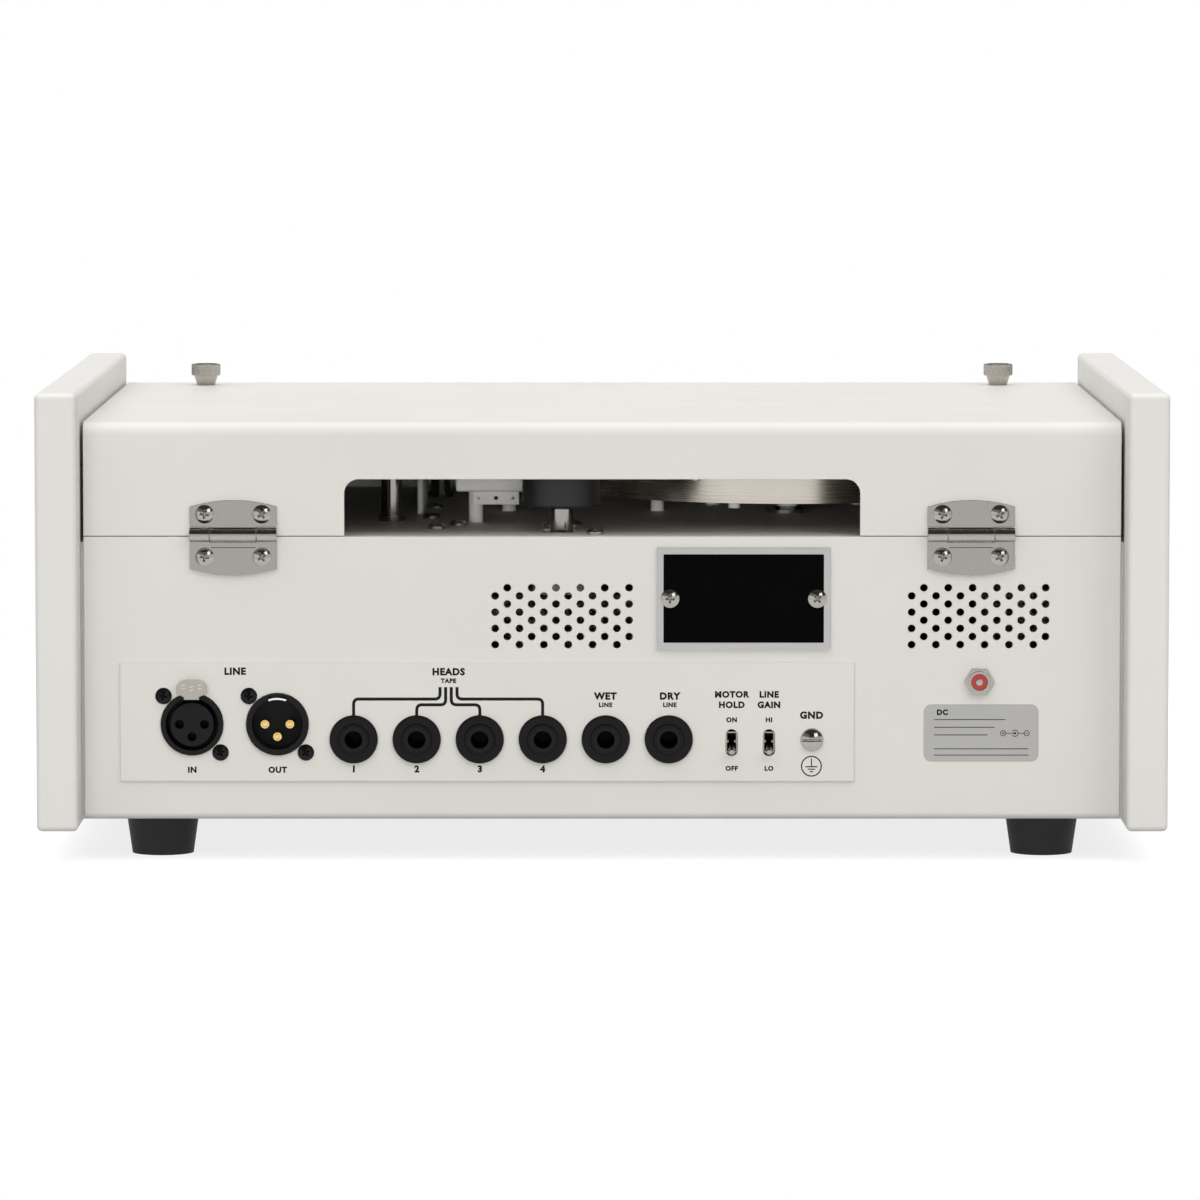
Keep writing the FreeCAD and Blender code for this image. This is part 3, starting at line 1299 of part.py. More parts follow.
def drive_belt():
    """Flat belt round the flywheel and the motor pulley."""
    low = number("wheel_low + (wheel_thick - belt_tall) / 2")
    wheels = [
        (number("capstan_x"), number("capstan_y"), number("wheel_wide / 2 + run_gap * 2"), -1),
        (number("motor_x"), number("capstan_y"), number("pulley_wide / 2 + run_gap * 2"), -1),
    ]
    thick = number("belt_thick")
    inner = Part.Wire(Part.__sortEdges__(path_edges(wheels, closed=True)))
    outer = Part.Wire(Part.__sortEdges__(path_edges(stops_shifted(wheels, thick), closed=True)))
    ring = Part.Face(outer).cut(Part.Face(inner))
    band = ring.extrude(FreeCAD.Vector(0, 0, number("belt_tall"))).Solids[0]
    band.translate(FreeCAD.Vector(0, 0, low))
    return feature("drive_belt", band)


# ---- tape magazine ---------------------------------------------------------------------------------
def slot_box(name, one, two):
    """A slot through the tray's wall along the tape's straight run between two stops."""
    start, end = tangent(one, two)
    heading = math.degrees(math.atan2(end.y - start.y, end.x - start.x))
    slot = DOC.addObject("Part::Box", name)
    bind(slot, "Length", "tray_wide / 2")
    bind(slot, "Width", "tray_slot")
    bind(slot, "Height", "tray_top - tape_low + tray_slot")
    shift = FreeCAD.Vector(0, -number("tray_slot") / 2, 0)
    turn = FreeCAD.Rotation(FreeCAD.Vector(0, 0, 1), heading)
    inward = one if one[2] > two[2] else two
    corner = start if inward is one else end
    if inward is two:
        turn = FreeCAD.Rotation(FreeCAD.Vector(0, 0, 1), heading + 180)
    base = corner + turn.multVec(shift)
    slot.Placement = FreeCAD.Placement(FreeCAD.Vector(base.x, base.y, number("tape_low - tray_slot")), turn)
    return slot


def tape_tray():
    """Round brushed tray with a centre hole and two slots where the tape goes out and in."""
    tray = turned("tray_blank", [
        ("bearing_wide / 2 + 3", "tray_low"),
        ("tray_wide / 2", "tray_low"),
        ("tray_wide / 2", "tray_top"),
        ("tray_wide / 2 - tray_wall", "tray_top"),
        ("tray_wide / 2 - tray_wall", "tray_low + tray_wall"),
        ("bearing_wide / 2 + 3", "tray_low + tray_wall"),
    ], ("tray_x", "tray_y", "0"))
    stops = tape_stops()
    slots = [slot_box("tray_slot_out", stops[0], stops[1]), slot_box("tray_slot_back", stops[-2], stops[-1])]
    return kept(cut("tape_tray", tray, slots), "tape_tray")


def tray_supports():
    """Four posts from the deck, set towards the front, and small pegs under the rim."""
    items = []
    for i, angle in enumerate((188, 236, 304, 352)):
        x = f"tray_x + foot_ring * {math.cos(math.radians(angle)):.6f}"
        y = f"tray_y + foot_ring * {math.sin(math.radians(angle)):.6f}"
        items.append(rod(f"tray_post_{i}", "support_wide", (x, y, "split_z"), "tray_low - split_z"))
    for i, angle in enumerate((73, 193, 313)):
        reach = "(tray_wide / 2 - peg_wide)"
        x = f"tray_x + {reach} * {math.cos(math.radians(angle)):.6f}"
        y = f"tray_y + {reach} * {math.sin(math.radians(angle)):.6f}"
        items.append(rod(f"tray_peg_{i}", "peg_wide", (x, y, "tray_low - peg_tall"), "peg_tall"))
    return kept(together("tray_supports", items), "tray_supports")


def tray_cover():
    """Disc on the tray's rim with three arc windows and a finger hole over the hub."""
    disc = rod("cover_disc", "tray_wide", ("tray_x", "tray_y", "tray_top"), "cover_thick")
    tools = [rod("cover_hole", "hub_wide - 8", ("tray_x", "tray_y", "tray_top - 1"), "cover_thick + 2")]
    for i in range(3):
        ring = rod(f"cover_ring_{i}", "pack_wide - 8", ("tray_x", "tray_y", "tray_top - 1"), "cover_thick + 2")
        bind(ring, "Angle", "70")
        ring.Placement.Rotation = FreeCAD.Rotation(FreeCAD.Vector(0, 0, 1), 25 + 120 * i)
        core = rod(f"cover_core_{i}", "hub_wide + 14", ("tray_x", "tray_y", "tray_top - 2"), "cover_thick + 4")
        tools.append(cut(f"cover_window_{i}", ring, [core]))
    return kept(cut("tray_cover", disc, tools), "tray_cover")


def turntable():
    """Disc, hub and spindle that carry the wound tape."""
    table = turned("turntable", [
        ("0", "spindle_low"),
        ("spindle_wide / 2", "spindle_low"),
        ("spindle_wide / 2", "tape_low - table_thick"),
        ("table_wide / 2", "tape_low - table_thick"),
        ("table_wide / 2", "tape_low"),
        ("hub_wide / 2", "tape_low"),
        ("hub_wide / 2", "hub_top - 1"),
        ("hub_wide / 2 - 1", "hub_top"),
        ("spindle_wide", "hub_top"),
        ("spindle_wide", "hub_top - 3"),
        ("0", "hub_top - 3"),
    ], ("tray_x", "tray_y", "0"))
    return kept(table, "turntable")


def tape_pack():
    """Wound tape round the hub."""
    pack = turned("tape_pack", [
        ("hub_wide / 2", "tape_low"),
        ("pack_wide / 2 - guide_gap", "tape_low"),
        ("pack_wide / 2 - guide_gap", "tape_low + tape_tall"),
        ("hub_wide / 2", "tape_low + tape_tall"),
    ], ("tray_x", "tray_y", "0"))
    return kept(pack, "tape_pack")


# ---- drive -----------------------------------------------------------------------------------------
def capstan():
    """Ground shaft with its flywheel."""
    shaft = turned("capstan", [
        ("0", "capstan_low"),
        ("capstan_wide / 2", "capstan_low"),
        ("capstan_wide / 2", "wheel_low"),
        ("wheel_wide / 2", "wheel_low"),
        ("wheel_wide / 2", "wheel_low + wheel_thick"),
        ("capstan_wide / 2", "wheel_low + wheel_thick"),
        ("capstan_wide / 2", "capstan_top - 0.6"),
        ("capstan_wide / 2 - 0.6", "capstan_top"),
        ("0", "capstan_top"),
    ], ("capstan_x", "capstan_y", "0"))
    return kept(shaft, "capstan")


def deck_bearings():
    """Flanged sleeves in the deck for the capstan and the turntable's spindle."""
    sleeves = []
    for name, x, y, shaft in (("capstan", "capstan_x", "capstan_y", "capstan_wide"),
                              ("spindle", "tray_x", "tray_y", "spindle_wide")):
        sleeves.append(turned(f"{name}_sleeve", [
            (f"{shaft} / 2 + run_gap", "bearing_low"),
            ("bearing_wide / 2", "bearing_low"),
            ("bearing_wide / 2", "split_z"),
            ("bearing_wide / 2 + 2", "split_z"),
            ("bearing_wide / 2 + 2", "split_z + 1.2"),
            ("bearing_wide / 2 - 1", "bearing_top"),
            (f"{shaft} / 2 + run_gap", "bearing_top"),
        ], (x, y, "0")))
    return kept(together("deck_bearings", sleeves), "deck_bearings")


def drive_motor():
    """Round motor on a plate that hangs from the deck on three pillars."""
    spot = ("motor_x", "capstan_y", "motor_top - motor_tall")
    can = rod("motor_can", "motor_wide", spot, "motor_tall - motor_plate")
    boss = rod("motor_boss", "pulley_wide - 4", ("motor_x", "capstan_y", "motor_top - motor_plate"), "motor_plate + 1")
    wide = "(motor_post_ring + 5)"
    plate = rod("motor_mount", f"2 * {wide}", ("motor_x", "capstan_y", "motor_top - motor_plate"), "motor_plate")
    items = [can, boss, plate]
    for i, angle in enumerate((0, 105, 255)):
        x = f"motor_x + motor_post_ring * {math.cos(math.radians(angle)):.6f}"
        y = f"capstan_y + motor_post_ring * {math.sin(math.radians(angle)):.6f}"
        items.append(rod(f"motor_pillar_{i}", "6", (x, y, "motor_top"), "split_z - deck_thick - motor_top"))
    hole = rod("motor_bore", "motor_shaft + 2 * run_gap", ("motor_x", "capstan_y", "motor_top - 12"), "20")
    return kept(cut("drive_motor", fuse("motor_blank", items), [hole]), "drive_motor")


def motor_pulley():
    """Crowned pulley on the motor's shaft."""
    pulley = turned("motor_pulley", [
        ("0", "motor_top - 11"),
        ("motor_shaft / 2", "motor_top - 11"),
        ("motor_shaft / 2", "wheel_low - 1"),
        ("pulley_wide / 2", "wheel_low - 1"),
        ("pulley_wide / 2", "wheel_low + wheel_thick"),
        ("0", "wheel_low + wheel_thick"),
    ], ("motor_x", "capstan_y", "0"))
    return kept(pulley, "motor_pulley")


def pinch_arm():
    """Arm under the deck with a post that comes up through a slot and carries the roller."""
    half = "arm_wide / 2"
    reach = "sqrt((arm_pivot_x - capstan_x)^2 + (arm_pivot_y - ROLLER)^2)".replace("ROLLER", ROLLER_Y)
    bar = box("arm_bar", ("0", f"-{half}", "0"), (reach, half, "arm_thick"))
    end = rod("arm_end", "arm_wide", (reach, "0", "0"), "arm_thick")
    root = rod("arm_root", "arm_wide", ("0", "0", "0"), "arm_thick")
    post = rod("arm_post", "roller_post", ("0", "0", "0"), "roller_low - touch_gap - arm_low")
    shaft = rod("arm_shaft", "roller_shaft", ("0", "0", "0"), "roller_low + roller_tall + 3 - arm_low")
    cap = rod("arm_cap", "roller_shaft + 4", ("0", "0", "roller_low + roller_tall + touch_gap - arm_low"), "1.6")
    hole = rod("arm_hole", "pivot_wide + 2 * run_gap", (reach, "0", "-1"), "arm_thick + 2")
    arm = cut("pinch_arm", fuse("arm_blank", [bar, end, root, post, shaft, cap]), [hole])
    dx = number("arm_pivot_x - capstan_x")
    dy = number(f"arm_pivot_y - {ROLLER_Y}")
    turn = FreeCAD.Rotation(FreeCAD.Vector(0, 0, 1), math.degrees(math.atan2(dy, dx)))
    arm.Placement = FreeCAD.Placement(FreeCAD.Vector(0, 0, 0), turn)
    for letter, text in zip("xyz", ("capstan_x", ROLLER_Y, "arm_low")):
        bind(arm, f"Placement.Base.{letter}", text)
    return kept(arm, "pinch_arm")


def pinch_roller():
    """Rubber roller with a slightly sunk hub."""
    roller = turned("pinch_roller", [
        ("roller_shaft / 2 + run_gap", "0"),
        ("roller_hub / 2", "0"),
        ("roller_hub / 2", "0.6"),
        ("roller_wide / 2 - 0.8", "0.6"),
        ("roller_wide / 2", "1.4"),
        ("roller_wide / 2", "roller_tall - 1.4"),
        ("roller_wide / 2 - 0.8", "roller_tall - 0.6"),
        ("roller_hub / 2", "roller_tall - 0.6"),
        ("roller_hub / 2", "roller_tall"),
        ("roller_shaft / 2 + run_gap", "roller_tall"),
    ], ("capstan_x", ROLLER_Y, "roller_low"))
    return kept(roller, "pinch_roller")


# ---- heads -----------------------------------------------------------------------------------------
def tape_guides():
    """Three flanged posts that turn the tape, and the pinch arm's pivot under the deck."""
    guides = []
    spots = [
        ("guide_rear_x", "guide_rear_y"),
        ("guide_side_x", "guide_side_y"),
        (f"head_line_x - {GUIDE_REACH}", "guide_front_y"),
    ]
    for i, (x, y) in enumerate(spots):
        guides.append(turned(f"guide_{i}", [
            ("0", "split_z"),
            ("guide_wide / 2 + 1.2", "split_z"),
            ("guide_wide / 2 + 1.2", "split_z + 2"),
            ("guide_wide / 2", "split_z + 2"),
            ("guide_wide / 2", "guide_top - 4"),
            ("guide_wide / 2 + 1", "guide_top - 4"),
            ("guide_wide / 2 + 1", "guide_top - 1"),
            ("guide_wide / 2", "guide_top"),
            ("0", "guide_top"),
        ], (x, y, "0")))
    guides.append(turned("arm_pivot", [
        ("0", "arm_low - 2"),
        ("pivot_wide / 2 + 1.5", "arm_low - 2"),
        ("pivot_wide / 2 + 1.5", "arm_low - touch_gap"),
        ("pivot_wide / 2", "arm_low - touch_gap"),
        ("pivot_wide / 2", "arm_low + arm_thick + touch_gap"),
        ("pivot_wide / 2 + 2", "arm_low + arm_thick + touch_gap"),
        ("pivot_wide / 2 + 2", "split_z - deck_thick"),
        ("0", "split_z - deck_thick"),
    ], ("arm_pivot_x", "arm_pivot_y", "0")))
    return kept(together("tape_guides", guides), "tape_guides")


def head_bridge():
    """Block that carries the heads on three posts, with a small tab at its rear end."""
    block = box("bridge_block", ("bridge_left_x", "bridge_front_y", "bridge_low"),
                ("bridge_right_x", "bridge_rear_y", "bridge_low + bridge_tall"))
    soft = round_edges("bridge_soft", block, "1.2", lambda edge: True)
    tab = box("bridge_tab", ("bridge_left_x + 2", "bridge_rear_y - 3", "bridge_low - bridge_tab_drop"),
              ("bridge_post_x + 1", "bridge_rear_y - 1.5", "bridge_low + 3"))
    items = [soft, tab]
    posts = [("bridge_post_x", "bridge_rear_y - bridge_post_inset"), ("bridge_post_x", "bridge_front_y + bridge_post_inset"),
             ("bridge_left_x + bridge_post_inset", "(bridge_rear_y + bridge_front_y) / 2")]
    for i, (x, y) in enumerate(posts):
        items.append(rod(f"bridge_post_{i}", "bridge_post", (x, y, "split_z"), "bridge_low + 2 - split_z"))
    middle = "(bridge_left_x + bridge_post_x + 3) / 2"
    holes = []
    for i, (shift, wide) in enumerate((("-6.4", "1.1"), ("0", "1.5"), ("6.4", "1.1"))):
        spot = (f"{middle} + ({shift})", "bridge_rear_y - 4", "bridge_low - bridge_tab_drop / 2")
        holes.append(rod(f"bridge_tab_hole_{i}", wide, spot, "4", "Y"))
    return kept(cut("head_bridge", fuse("bridge_blank", items), holes), "head_bridge")


def head(name, place_in_row):
    """Head with a rounded nose towards the tape and a gap line down its middle."""
    y = f"head_first_y - {place_in_row} * head_pitch"
    half = "head_wide / 2"
    tip = "head_line_x - head_gap"
    case = body(name)
    top = sketch(case, "XY_Plane", name + "_outline", "head_low")
    outline(top, [
        ("bridge_right_x", f"{y} - {half}"),
        (f"{tip} - 2.4", f"{y} - {half}"),
        (f"{tip} - 0.9", f"{y} - {half} * 0.7"),
        (f"{tip} - 0.1", f"{y} - {half} * 0.25"),
        (tip, y),
        (f"{tip} - 0.1", f"{y} + {half} * 0.25"),
        (f"{tip} - 0.9", f"{y} + {half} * 0.7"),
        (f"{tip} - 2.4", f"{y} + {half}"),
        ("bridge_right_x", f"{y} + {half}"),
    ])
    pad(case, top, "head_tall")
    return case


def heads():
    """Erase head, record head and four playback heads in a row."""
    kept(head("erase_head", 0), "erase_head")
    kept(head("record_head", 1), "record_head")
    playback = [head(f"playback_{i}", i + 2) for i in range(4)]
    kept(together("playback_heads", playback), "playback_heads")


def pressure_pad():
    """Felt strip on edge that presses the tape against the heads."""
    strip = body("pressure_pad")
    low_x = "head_line_x + guide_gap"
    top = sketch(strip, "XY_Plane", "pad_outline", "split_z")
    rectangle(top, low_x, "head_first_y - 5.6 * head_pitch", f"{low_x} + pad_thick", "pad_rear_y")
    pad(strip, top, "pad_top - split_z")
    fillet(strip, "pad_ends", "pad_thick * 0.45", lambda edge: runs_along(edge, "Z"))
    return kept(strip, "pressure_pad")


# ---- electronics and front controls ----------------------------------------------------------------
def circuit_board():
    """Main board on six standoffs from the floor."""
    board = box("board_sheet", ("-board_wide / 2", "board_y - board_deep / 2", "board_low"),
                ("board_wide / 2", "board_y + board_deep / 2", "board_low + board_thick"))
    items = [board]
    for i, x in enumerate(("-board_wide / 2 + standoff_inset", "0", "board_wide / 2 - standoff_inset")):
        for j, side in enumerate((-1, 1)):
            y = f"board_y + {side} * (board_deep / 2 - standoff_inset)"
            items.append(rod(f"standoff_{i}_{j}", "standoff_wide", (x, y, "chassis_low + sheet"),
                             "board_low - chassis_low - sheet"))
    return kept(fuse("circuit_board", items), "circuit_board")


def board_components():
    """Round capacitors along the rear edge and chips in two rows."""
    items = []
    top = "board_low + board_thick"
    for i in range(10):
        x = f"({i} - 4.5) * can_pitch"
        items.append(rod(f"can_{i}", "can_wide", (x, "board_y + board_deep / 2 - 22", top), "can_tall"))
    for i in range(9):
        for j in range(2):
            x = f"({i} - 4) * chip_pitch"
            y = f"board_y - {j} * chip_pitch * 1.4"
            items.append(box(f"chip_{i}_{j}", (f"{x} - chip_wide / 2", f"{y} - chip_long / 2", top),
                             (f"{x} + chip_wide / 2", f"{y} + chip_long / 2", f"{top} + chip_tall")))
    return kept(together("board_components", items), "board_components")


def meter_case():
    """Meter housing with a bezel in front of the panel and an open dial well."""
    wide, tall = "(meter_wide / 2)", "(meter_tall / 2)"
    bezel = box("meter_bezel_blank", (f"meter_x - {wide}", "front_y - meter_proud", f"meter_z - {tall}"),
                (f"meter_x + {wide}", "front_y", f"meter_z + {tall}"))
    soft = round_edges("meter_bezel_soft", bezel, "2", lambda edge: runs_along(edge, "Y"))
    rim = "meter_bezel"
    rear = box("meter_rear", (f"meter_x - {wide} + {rim}", "front_y - 1", f"meter_z - {tall} + {rim}"),
               (f"meter_x + {wide} - {rim}", "front_y + meter_deep", f"meter_z + {tall} - {rim}"))
    edge = "(meter_bezel + meter_wall)"
    well = box("meter_well", (f"meter_x - {wide} + {edge}", "front_y - meter_proud - 1", f"meter_z - {tall} + {edge}"),
               (f"meter_x + {wide} - {edge}", "front_y + meter_wall * 3", f"meter_z + {tall} - {edge}"))
    shell = cut("meter_shell", fuse("meter_blank", [soft, rear]), [well])
    axle = rod("meter_axle", "2", ("meter_x", "front_y + 1.5", f"meter_z - {tall} + {edge} + 4"), "meter_wall * 3 - 1.5", "Y")
    return kept(fuse("meter_case", [shell, axle]), "meter_case")


NEEDLE_Z = "(meter_z - meter_tall / 2 + meter_bezel + meter_wall + 4)"


def meter_needle():
    """Thin pointer on a round hub that turns on the meter's axle."""
    hub = rod("needle_hub", "5", ("0", "0", "0"), "1", "Y")
    blade = box("needle_blade", ("-0.3", "0.2", "0"), ("0.3", "0.7", "needle_long"))
    tail = box("needle_tail", ("-0.8", "0.2", "-3.5"), ("0.8", "0.7", "0"))
    bore = rod("needle_bore", "2 + 2 * run_gap", ("0", "-1", "0"), "3", "Y")
    needle = cut("meter_needle", fuse("needle_blank", [hub, blade, tail]), [bore])
    turn = FreeCAD.Rotation(FreeCAD.Vector(0, 1, 0), -number("needle_tilt"))
    needle.Placement = FreeCAD.Placement(FreeCAD.Vector(0, 0, 0), turn)
    for letter, text in zip("xyz", ("meter_x", "front_y + 2.2", NEEDLE_Z)):
        bind(needle, f"Placement.Base.{letter}", text)
    return kept(needle, "meter_needle")


def control_spots():
    return [f"knob_first_x + {i} * knob_pitch" for i in range(4)] + ["selector_x"]


def control_bodies():
    """Potentiometers and the rotary switch, each with a threaded bush and a nut."""
    items = []
    for i, x in enumerate(control_spots()):
        inner = "front_y + front_plate"
        can = rod(f"pot_can_{i}", "pot_wide", (x, inner, "knob_z"), "pot_deep", "Y")
        bush = rod(f"pot_bush_{i}", "shaft_bush", (x, "front_y - 3.2", "knob_z"), "front_plate + 3.2 + 1", "Y")
        nut = rod(f"pot_nut_{i}", "shaft_bush + 3", (x, "front_y - 1.8", "knob_z"), "1.8", "Y")
        bore = rod(f"pot_bore_{i}", "shaft_wide + 2 * run_gap", (x, "front_y - 4", "knob_z"), "front_plate + 9", "Y")
        items.append(cut(f"pot_{i}", fuse(f"pot_blank_{i}", [can, bush, nut]), [bore]))
    return kept(together("control_bodies", items), "control_bodies")


def knob(name, x, wide):
    """Skirted knob with its shaft; the pointer groove runs up from the centre."""
    rim = f"(({wide}) / 2 + knob_lip)"
    blank = turned(name + "_turned", [
        ("0", "-(front_plate + 4)"),
        ("shaft_wide / 2", "-(front_plate + 4)"),
        ("shaft_wide / 2", "knob_lift"),
        (rim, "knob_lift"),
        (rim, "knob_lift + knob_skirt_tall - 0.5"),
        (f"({wide}) / 2", "knob_lift + knob_skirt_tall"),
        (f"({wide}) / 2 - 1", "knob_lift + knob_tall - 1"),
        (f"({wide}) / 2 - 2", "knob_lift + knob_tall"),
        ("0", "knob_lift + knob_tall"),
    ], (x, "front_y", "knob_z"))
    blank.Placement = FreeCAD.Placement(blank.Placement.Base, FreeCAD.Rotation(FreeCAD.Vector(1, 0, 0), 90))
    tip = "front_y - knob_lift - knob_tall"
    groove = box(name + "_groove", (f"{x} - 0.6", f"{tip} - 1", "knob_z + 2"),
                 (f"{x} + 0.6", f"{tip} + 0.6", f"knob_z + ({wide}) / 2"))
    return kept(cut(name, blank, [groove]), name)


def knobs():
    names = ("input_level_knob", "echo_level_knob", "repeat_knob", "speed_knob")
    for name, x in zip(names, control_spots()):
        knob(name, x, "knob_wide")
    knob("mode_selector_knob", "selector_x", "selector_wide")


def build_all():
    make_sheet()
    base_chassis()
    side_panel("side_panel_left", -1)
    side_panel("side_panel_right", 1)
    front_panel()
    deck_plate()
    connector_plate()
    nameplate()
    rubber_feet()
    chassis_screws()
    lid()
    hinge_leaves()
    hinge_screws()
    thumbscrew("thumbscrew_left", f"-{THUMB_X}")
    thumbscrew("thumbscrew_right", THUMB_X)
    lid_posts()
    xlr_input_socket()
    xlr_latch()
    xlr_output_socket()
    xlr_output_pins()
    xlr_screws()
    jack_sockets()
    jack_nuts()
    toggle_switch_bodies()
    toggle_levers()
    earth_terminal()
    dc_inlet()
    tape_run()
    drive_belt()
    tape_tray()
    tray_supports()
    tray_cover()
    turntable()
    tape_pack()
    capstan()
    deck_bearings()
    drive_motor()
    motor_pulley()
    pinch_arm()
    pinch_roller()
    tape_guides()
    head_bridge()
    heads()
    pressure_pad()
    circuit_board()
    board_components()
    meter_case()
    meter_needle()
    control_bodies()
    knobs()


def write_parts():
    """Recompute, refuse anything failed, and write one file for each sub-part."""
    DOC.recompute()
    failed = [item.Name for item in DOC.Objects if "Invalid" in item.State or "Error" in item.State]
    failed += [item.Label for item in PARTS if item.Shape.isNull() or not item.Shape.isValid()]
    if failed:
        raise RuntimeError(f"not built: {failed}")
    os.makedirs("parts", exist_ok=True)
    for item in PARTS:
        item.Shape.exportStep(f"parts/{item.Label}.step")
        print(f"{item.Label}: {len(item.Shape.Solids)} solids, {item.Shape.Volume:.1f} mm3")
    print(len(PARTS), "nodes")


build_all()
write_parts()
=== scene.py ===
"""Looks of the tape echo unit: finishes, printed marks, knurled and fluted parts, meter dial and stage.

Every new piece is a surface worked out as whole numpy arrays, in metres, in the unit's own frame:
+Z up, the controls face -Y and the sockets +Y, and the feet stand on z = 0.
"""

import math

import bmesh
import bpy
import numpy as np
from bpy.props import FloatProperty, FloatVectorProperty, IntProperty, PointerProperty
from bpy.types import Operator, Panel, PropertyGroup
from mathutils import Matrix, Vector


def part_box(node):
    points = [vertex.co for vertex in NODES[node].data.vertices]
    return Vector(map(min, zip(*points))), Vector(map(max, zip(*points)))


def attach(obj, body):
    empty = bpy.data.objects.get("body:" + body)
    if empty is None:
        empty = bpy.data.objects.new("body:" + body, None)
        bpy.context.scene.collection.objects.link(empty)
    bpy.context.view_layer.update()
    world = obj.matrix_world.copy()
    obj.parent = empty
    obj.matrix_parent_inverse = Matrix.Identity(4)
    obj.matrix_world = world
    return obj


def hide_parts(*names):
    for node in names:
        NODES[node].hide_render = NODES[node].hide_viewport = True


bl_info = {
    "name": "Tape Echo Unit",
    "version": (1, 0, 0),
    "blender": (4, 5, 0),
    "location": "View3D > Sidebar > Tape Echo",
    "description": "Builds the finishes, marks and stage of a desktop tape echo unit on its packed frame",
    "category": "Object",
}

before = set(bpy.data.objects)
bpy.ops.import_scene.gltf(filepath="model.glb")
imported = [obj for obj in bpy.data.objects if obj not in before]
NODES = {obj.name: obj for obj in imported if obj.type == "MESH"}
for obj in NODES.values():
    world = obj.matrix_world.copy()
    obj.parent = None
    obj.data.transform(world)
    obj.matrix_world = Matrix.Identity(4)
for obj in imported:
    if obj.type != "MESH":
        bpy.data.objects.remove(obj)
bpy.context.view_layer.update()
MM = 0.001


def low(node):
    """Lowest corner of a node as an array, in metres."""
    return np.array(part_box(node)[0])


def high(node):
    """Highest corner of a node as an array, in metres."""
    return np.array(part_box(node)[1])


def middle(node):
    return (low(node) + high(node)) / 2


# ---- sizes and colours a user would change -------------------------------------------------------
def colour(name, description, default):
    return FloatVectorProperty(name=name, description=description, default=default, subtype="COLOR",
                               size=3, min=0.0, max=1.0)


def distance(name, description, default):
    return FloatProperty(name=name, description=description, default=default, unit="LENGTH",
                         subtype="DISTANCE", precision=5, min=0.0)


def power(name, description, default):
    return FloatProperty(name=name, description=description, default=default, subtype="POWER", min=0.0)


class ECHO_PaintSettings(PropertyGroup):
    """Colours of the finishes, as linear values."""
    case_white: colour("Case white", "Powder coat on the folded case and lid", (0.67, 0.651, 0.61))
    board_white: colour("Board white", "Satin lacquer on the side boards", (0.68, 0.667, 0.635))
    front_white: colour("Front white", "Powder coat on the front panel", (0.67, 0.655, 0.62))
    ink: colour("Ink", "Printed letters and lines", (0.004, 0.004, 0.0045))
    label_grey: colour("Label grey", "Printed ground of the rating label", (0.39, 0.385, 0.37))
    plate_black: colour("Plate black", "Enamel of the nameplate", (0.0012, 0.0012, 0.0013))
    moulding_black: colour("Moulding black", "Sockets, nuts and knobs", (0.006, 0.006, 0.0063))
    latch_grey: colour("Latch grey", "Push latch of the input socket", (0.37, 0.35, 0.31))
    bridge_grey: colour("Bridge grey", "Painted block that carries the heads", (0.72, 0.705, 0.67))
    deck_grey: colour("Deck grey", "Painted deck plate", (0.70, 0.68, 0.645))
    felt_grey: colour("Felt grey", "Pressure pad", (0.42, 0.415, 0.40))
    insulator_red: colour("Insulator red", "Moulding inside the power inlet", (0.42, 0.025, 0.018))
    tape_brown: colour("Tape brown", "Oxide side of the tape", (0.055, 0.03, 0.018))
    board_green: colour("Board green", "Solder mask of the circuit board", (0.01, 0.07, 0.03))
    dial_cream: colour("Dial cream", "Lit face of the level meter", (0.80, 0.72, 0.50))
    lamp_amber: colour("Lamp amber", "Lens of the pilot lamp", (0.75, 0.22, 0.02))


class ECHO_MarkSettings(PropertyGroup):
    """Sizes of printed marks."""
    letter: distance("Letter height", "Capitals of the rear legends", 2.5 * MM)
    small_letter: distance("Small letter height", "Capitals under the sockets", 2.1 * MM)
    digit: distance("Digit height", "Numbers under the jacks and round the knobs", 2.4 * MM)
    stroke: distance("Stroke", "Width of the printed lines", 1.12 * MM)
    lift: distance("Lift", "Height of the ink over the paint", 0.03 * MM)
    sides: IntProperty(name="Sides", description="Facets round a turned piece", default=96, min=24, max=256)


class ECHO_StageSettings(PropertyGroup):
    """Camera, floor and lamps."""
    lens: FloatProperty(name="Lens", description="Focal length of the camera", default=221.8, unit="CAMERA",
                        min=20.0, max=400.0)
    back: distance("Distance", "Camera distance behind the middle of the unit", 2.8076)
    rise: distance("Rise", "Camera height over the floor", 0.3222)
    aside: distance("Aside", "Camera offset along the unit's width", 0.0008)
    pitch: FloatProperty(name="Pitch", description="Downward tilt of the camera", default=math.radians(4.827),
                         subtype="ANGLE", unit="ROTATION")
    key: power("Key", "Power of the key lamp", 14.0)
    fill: power("Fill", "Power of the fill lamp", 3.0)
    window: power("Window", "Power of the low lamp that looks into the lid window", 34.0)
    front: power("Front", "Power of the lamp on the control side", 22.0)
    sky: FloatProperty(name="Sky", description="Strength of the surroundings", default=0.60, min=0.0)


def paints():
    return bpy.context.scene.echo_paints


def marks():
    return bpy.context.scene.echo_marks


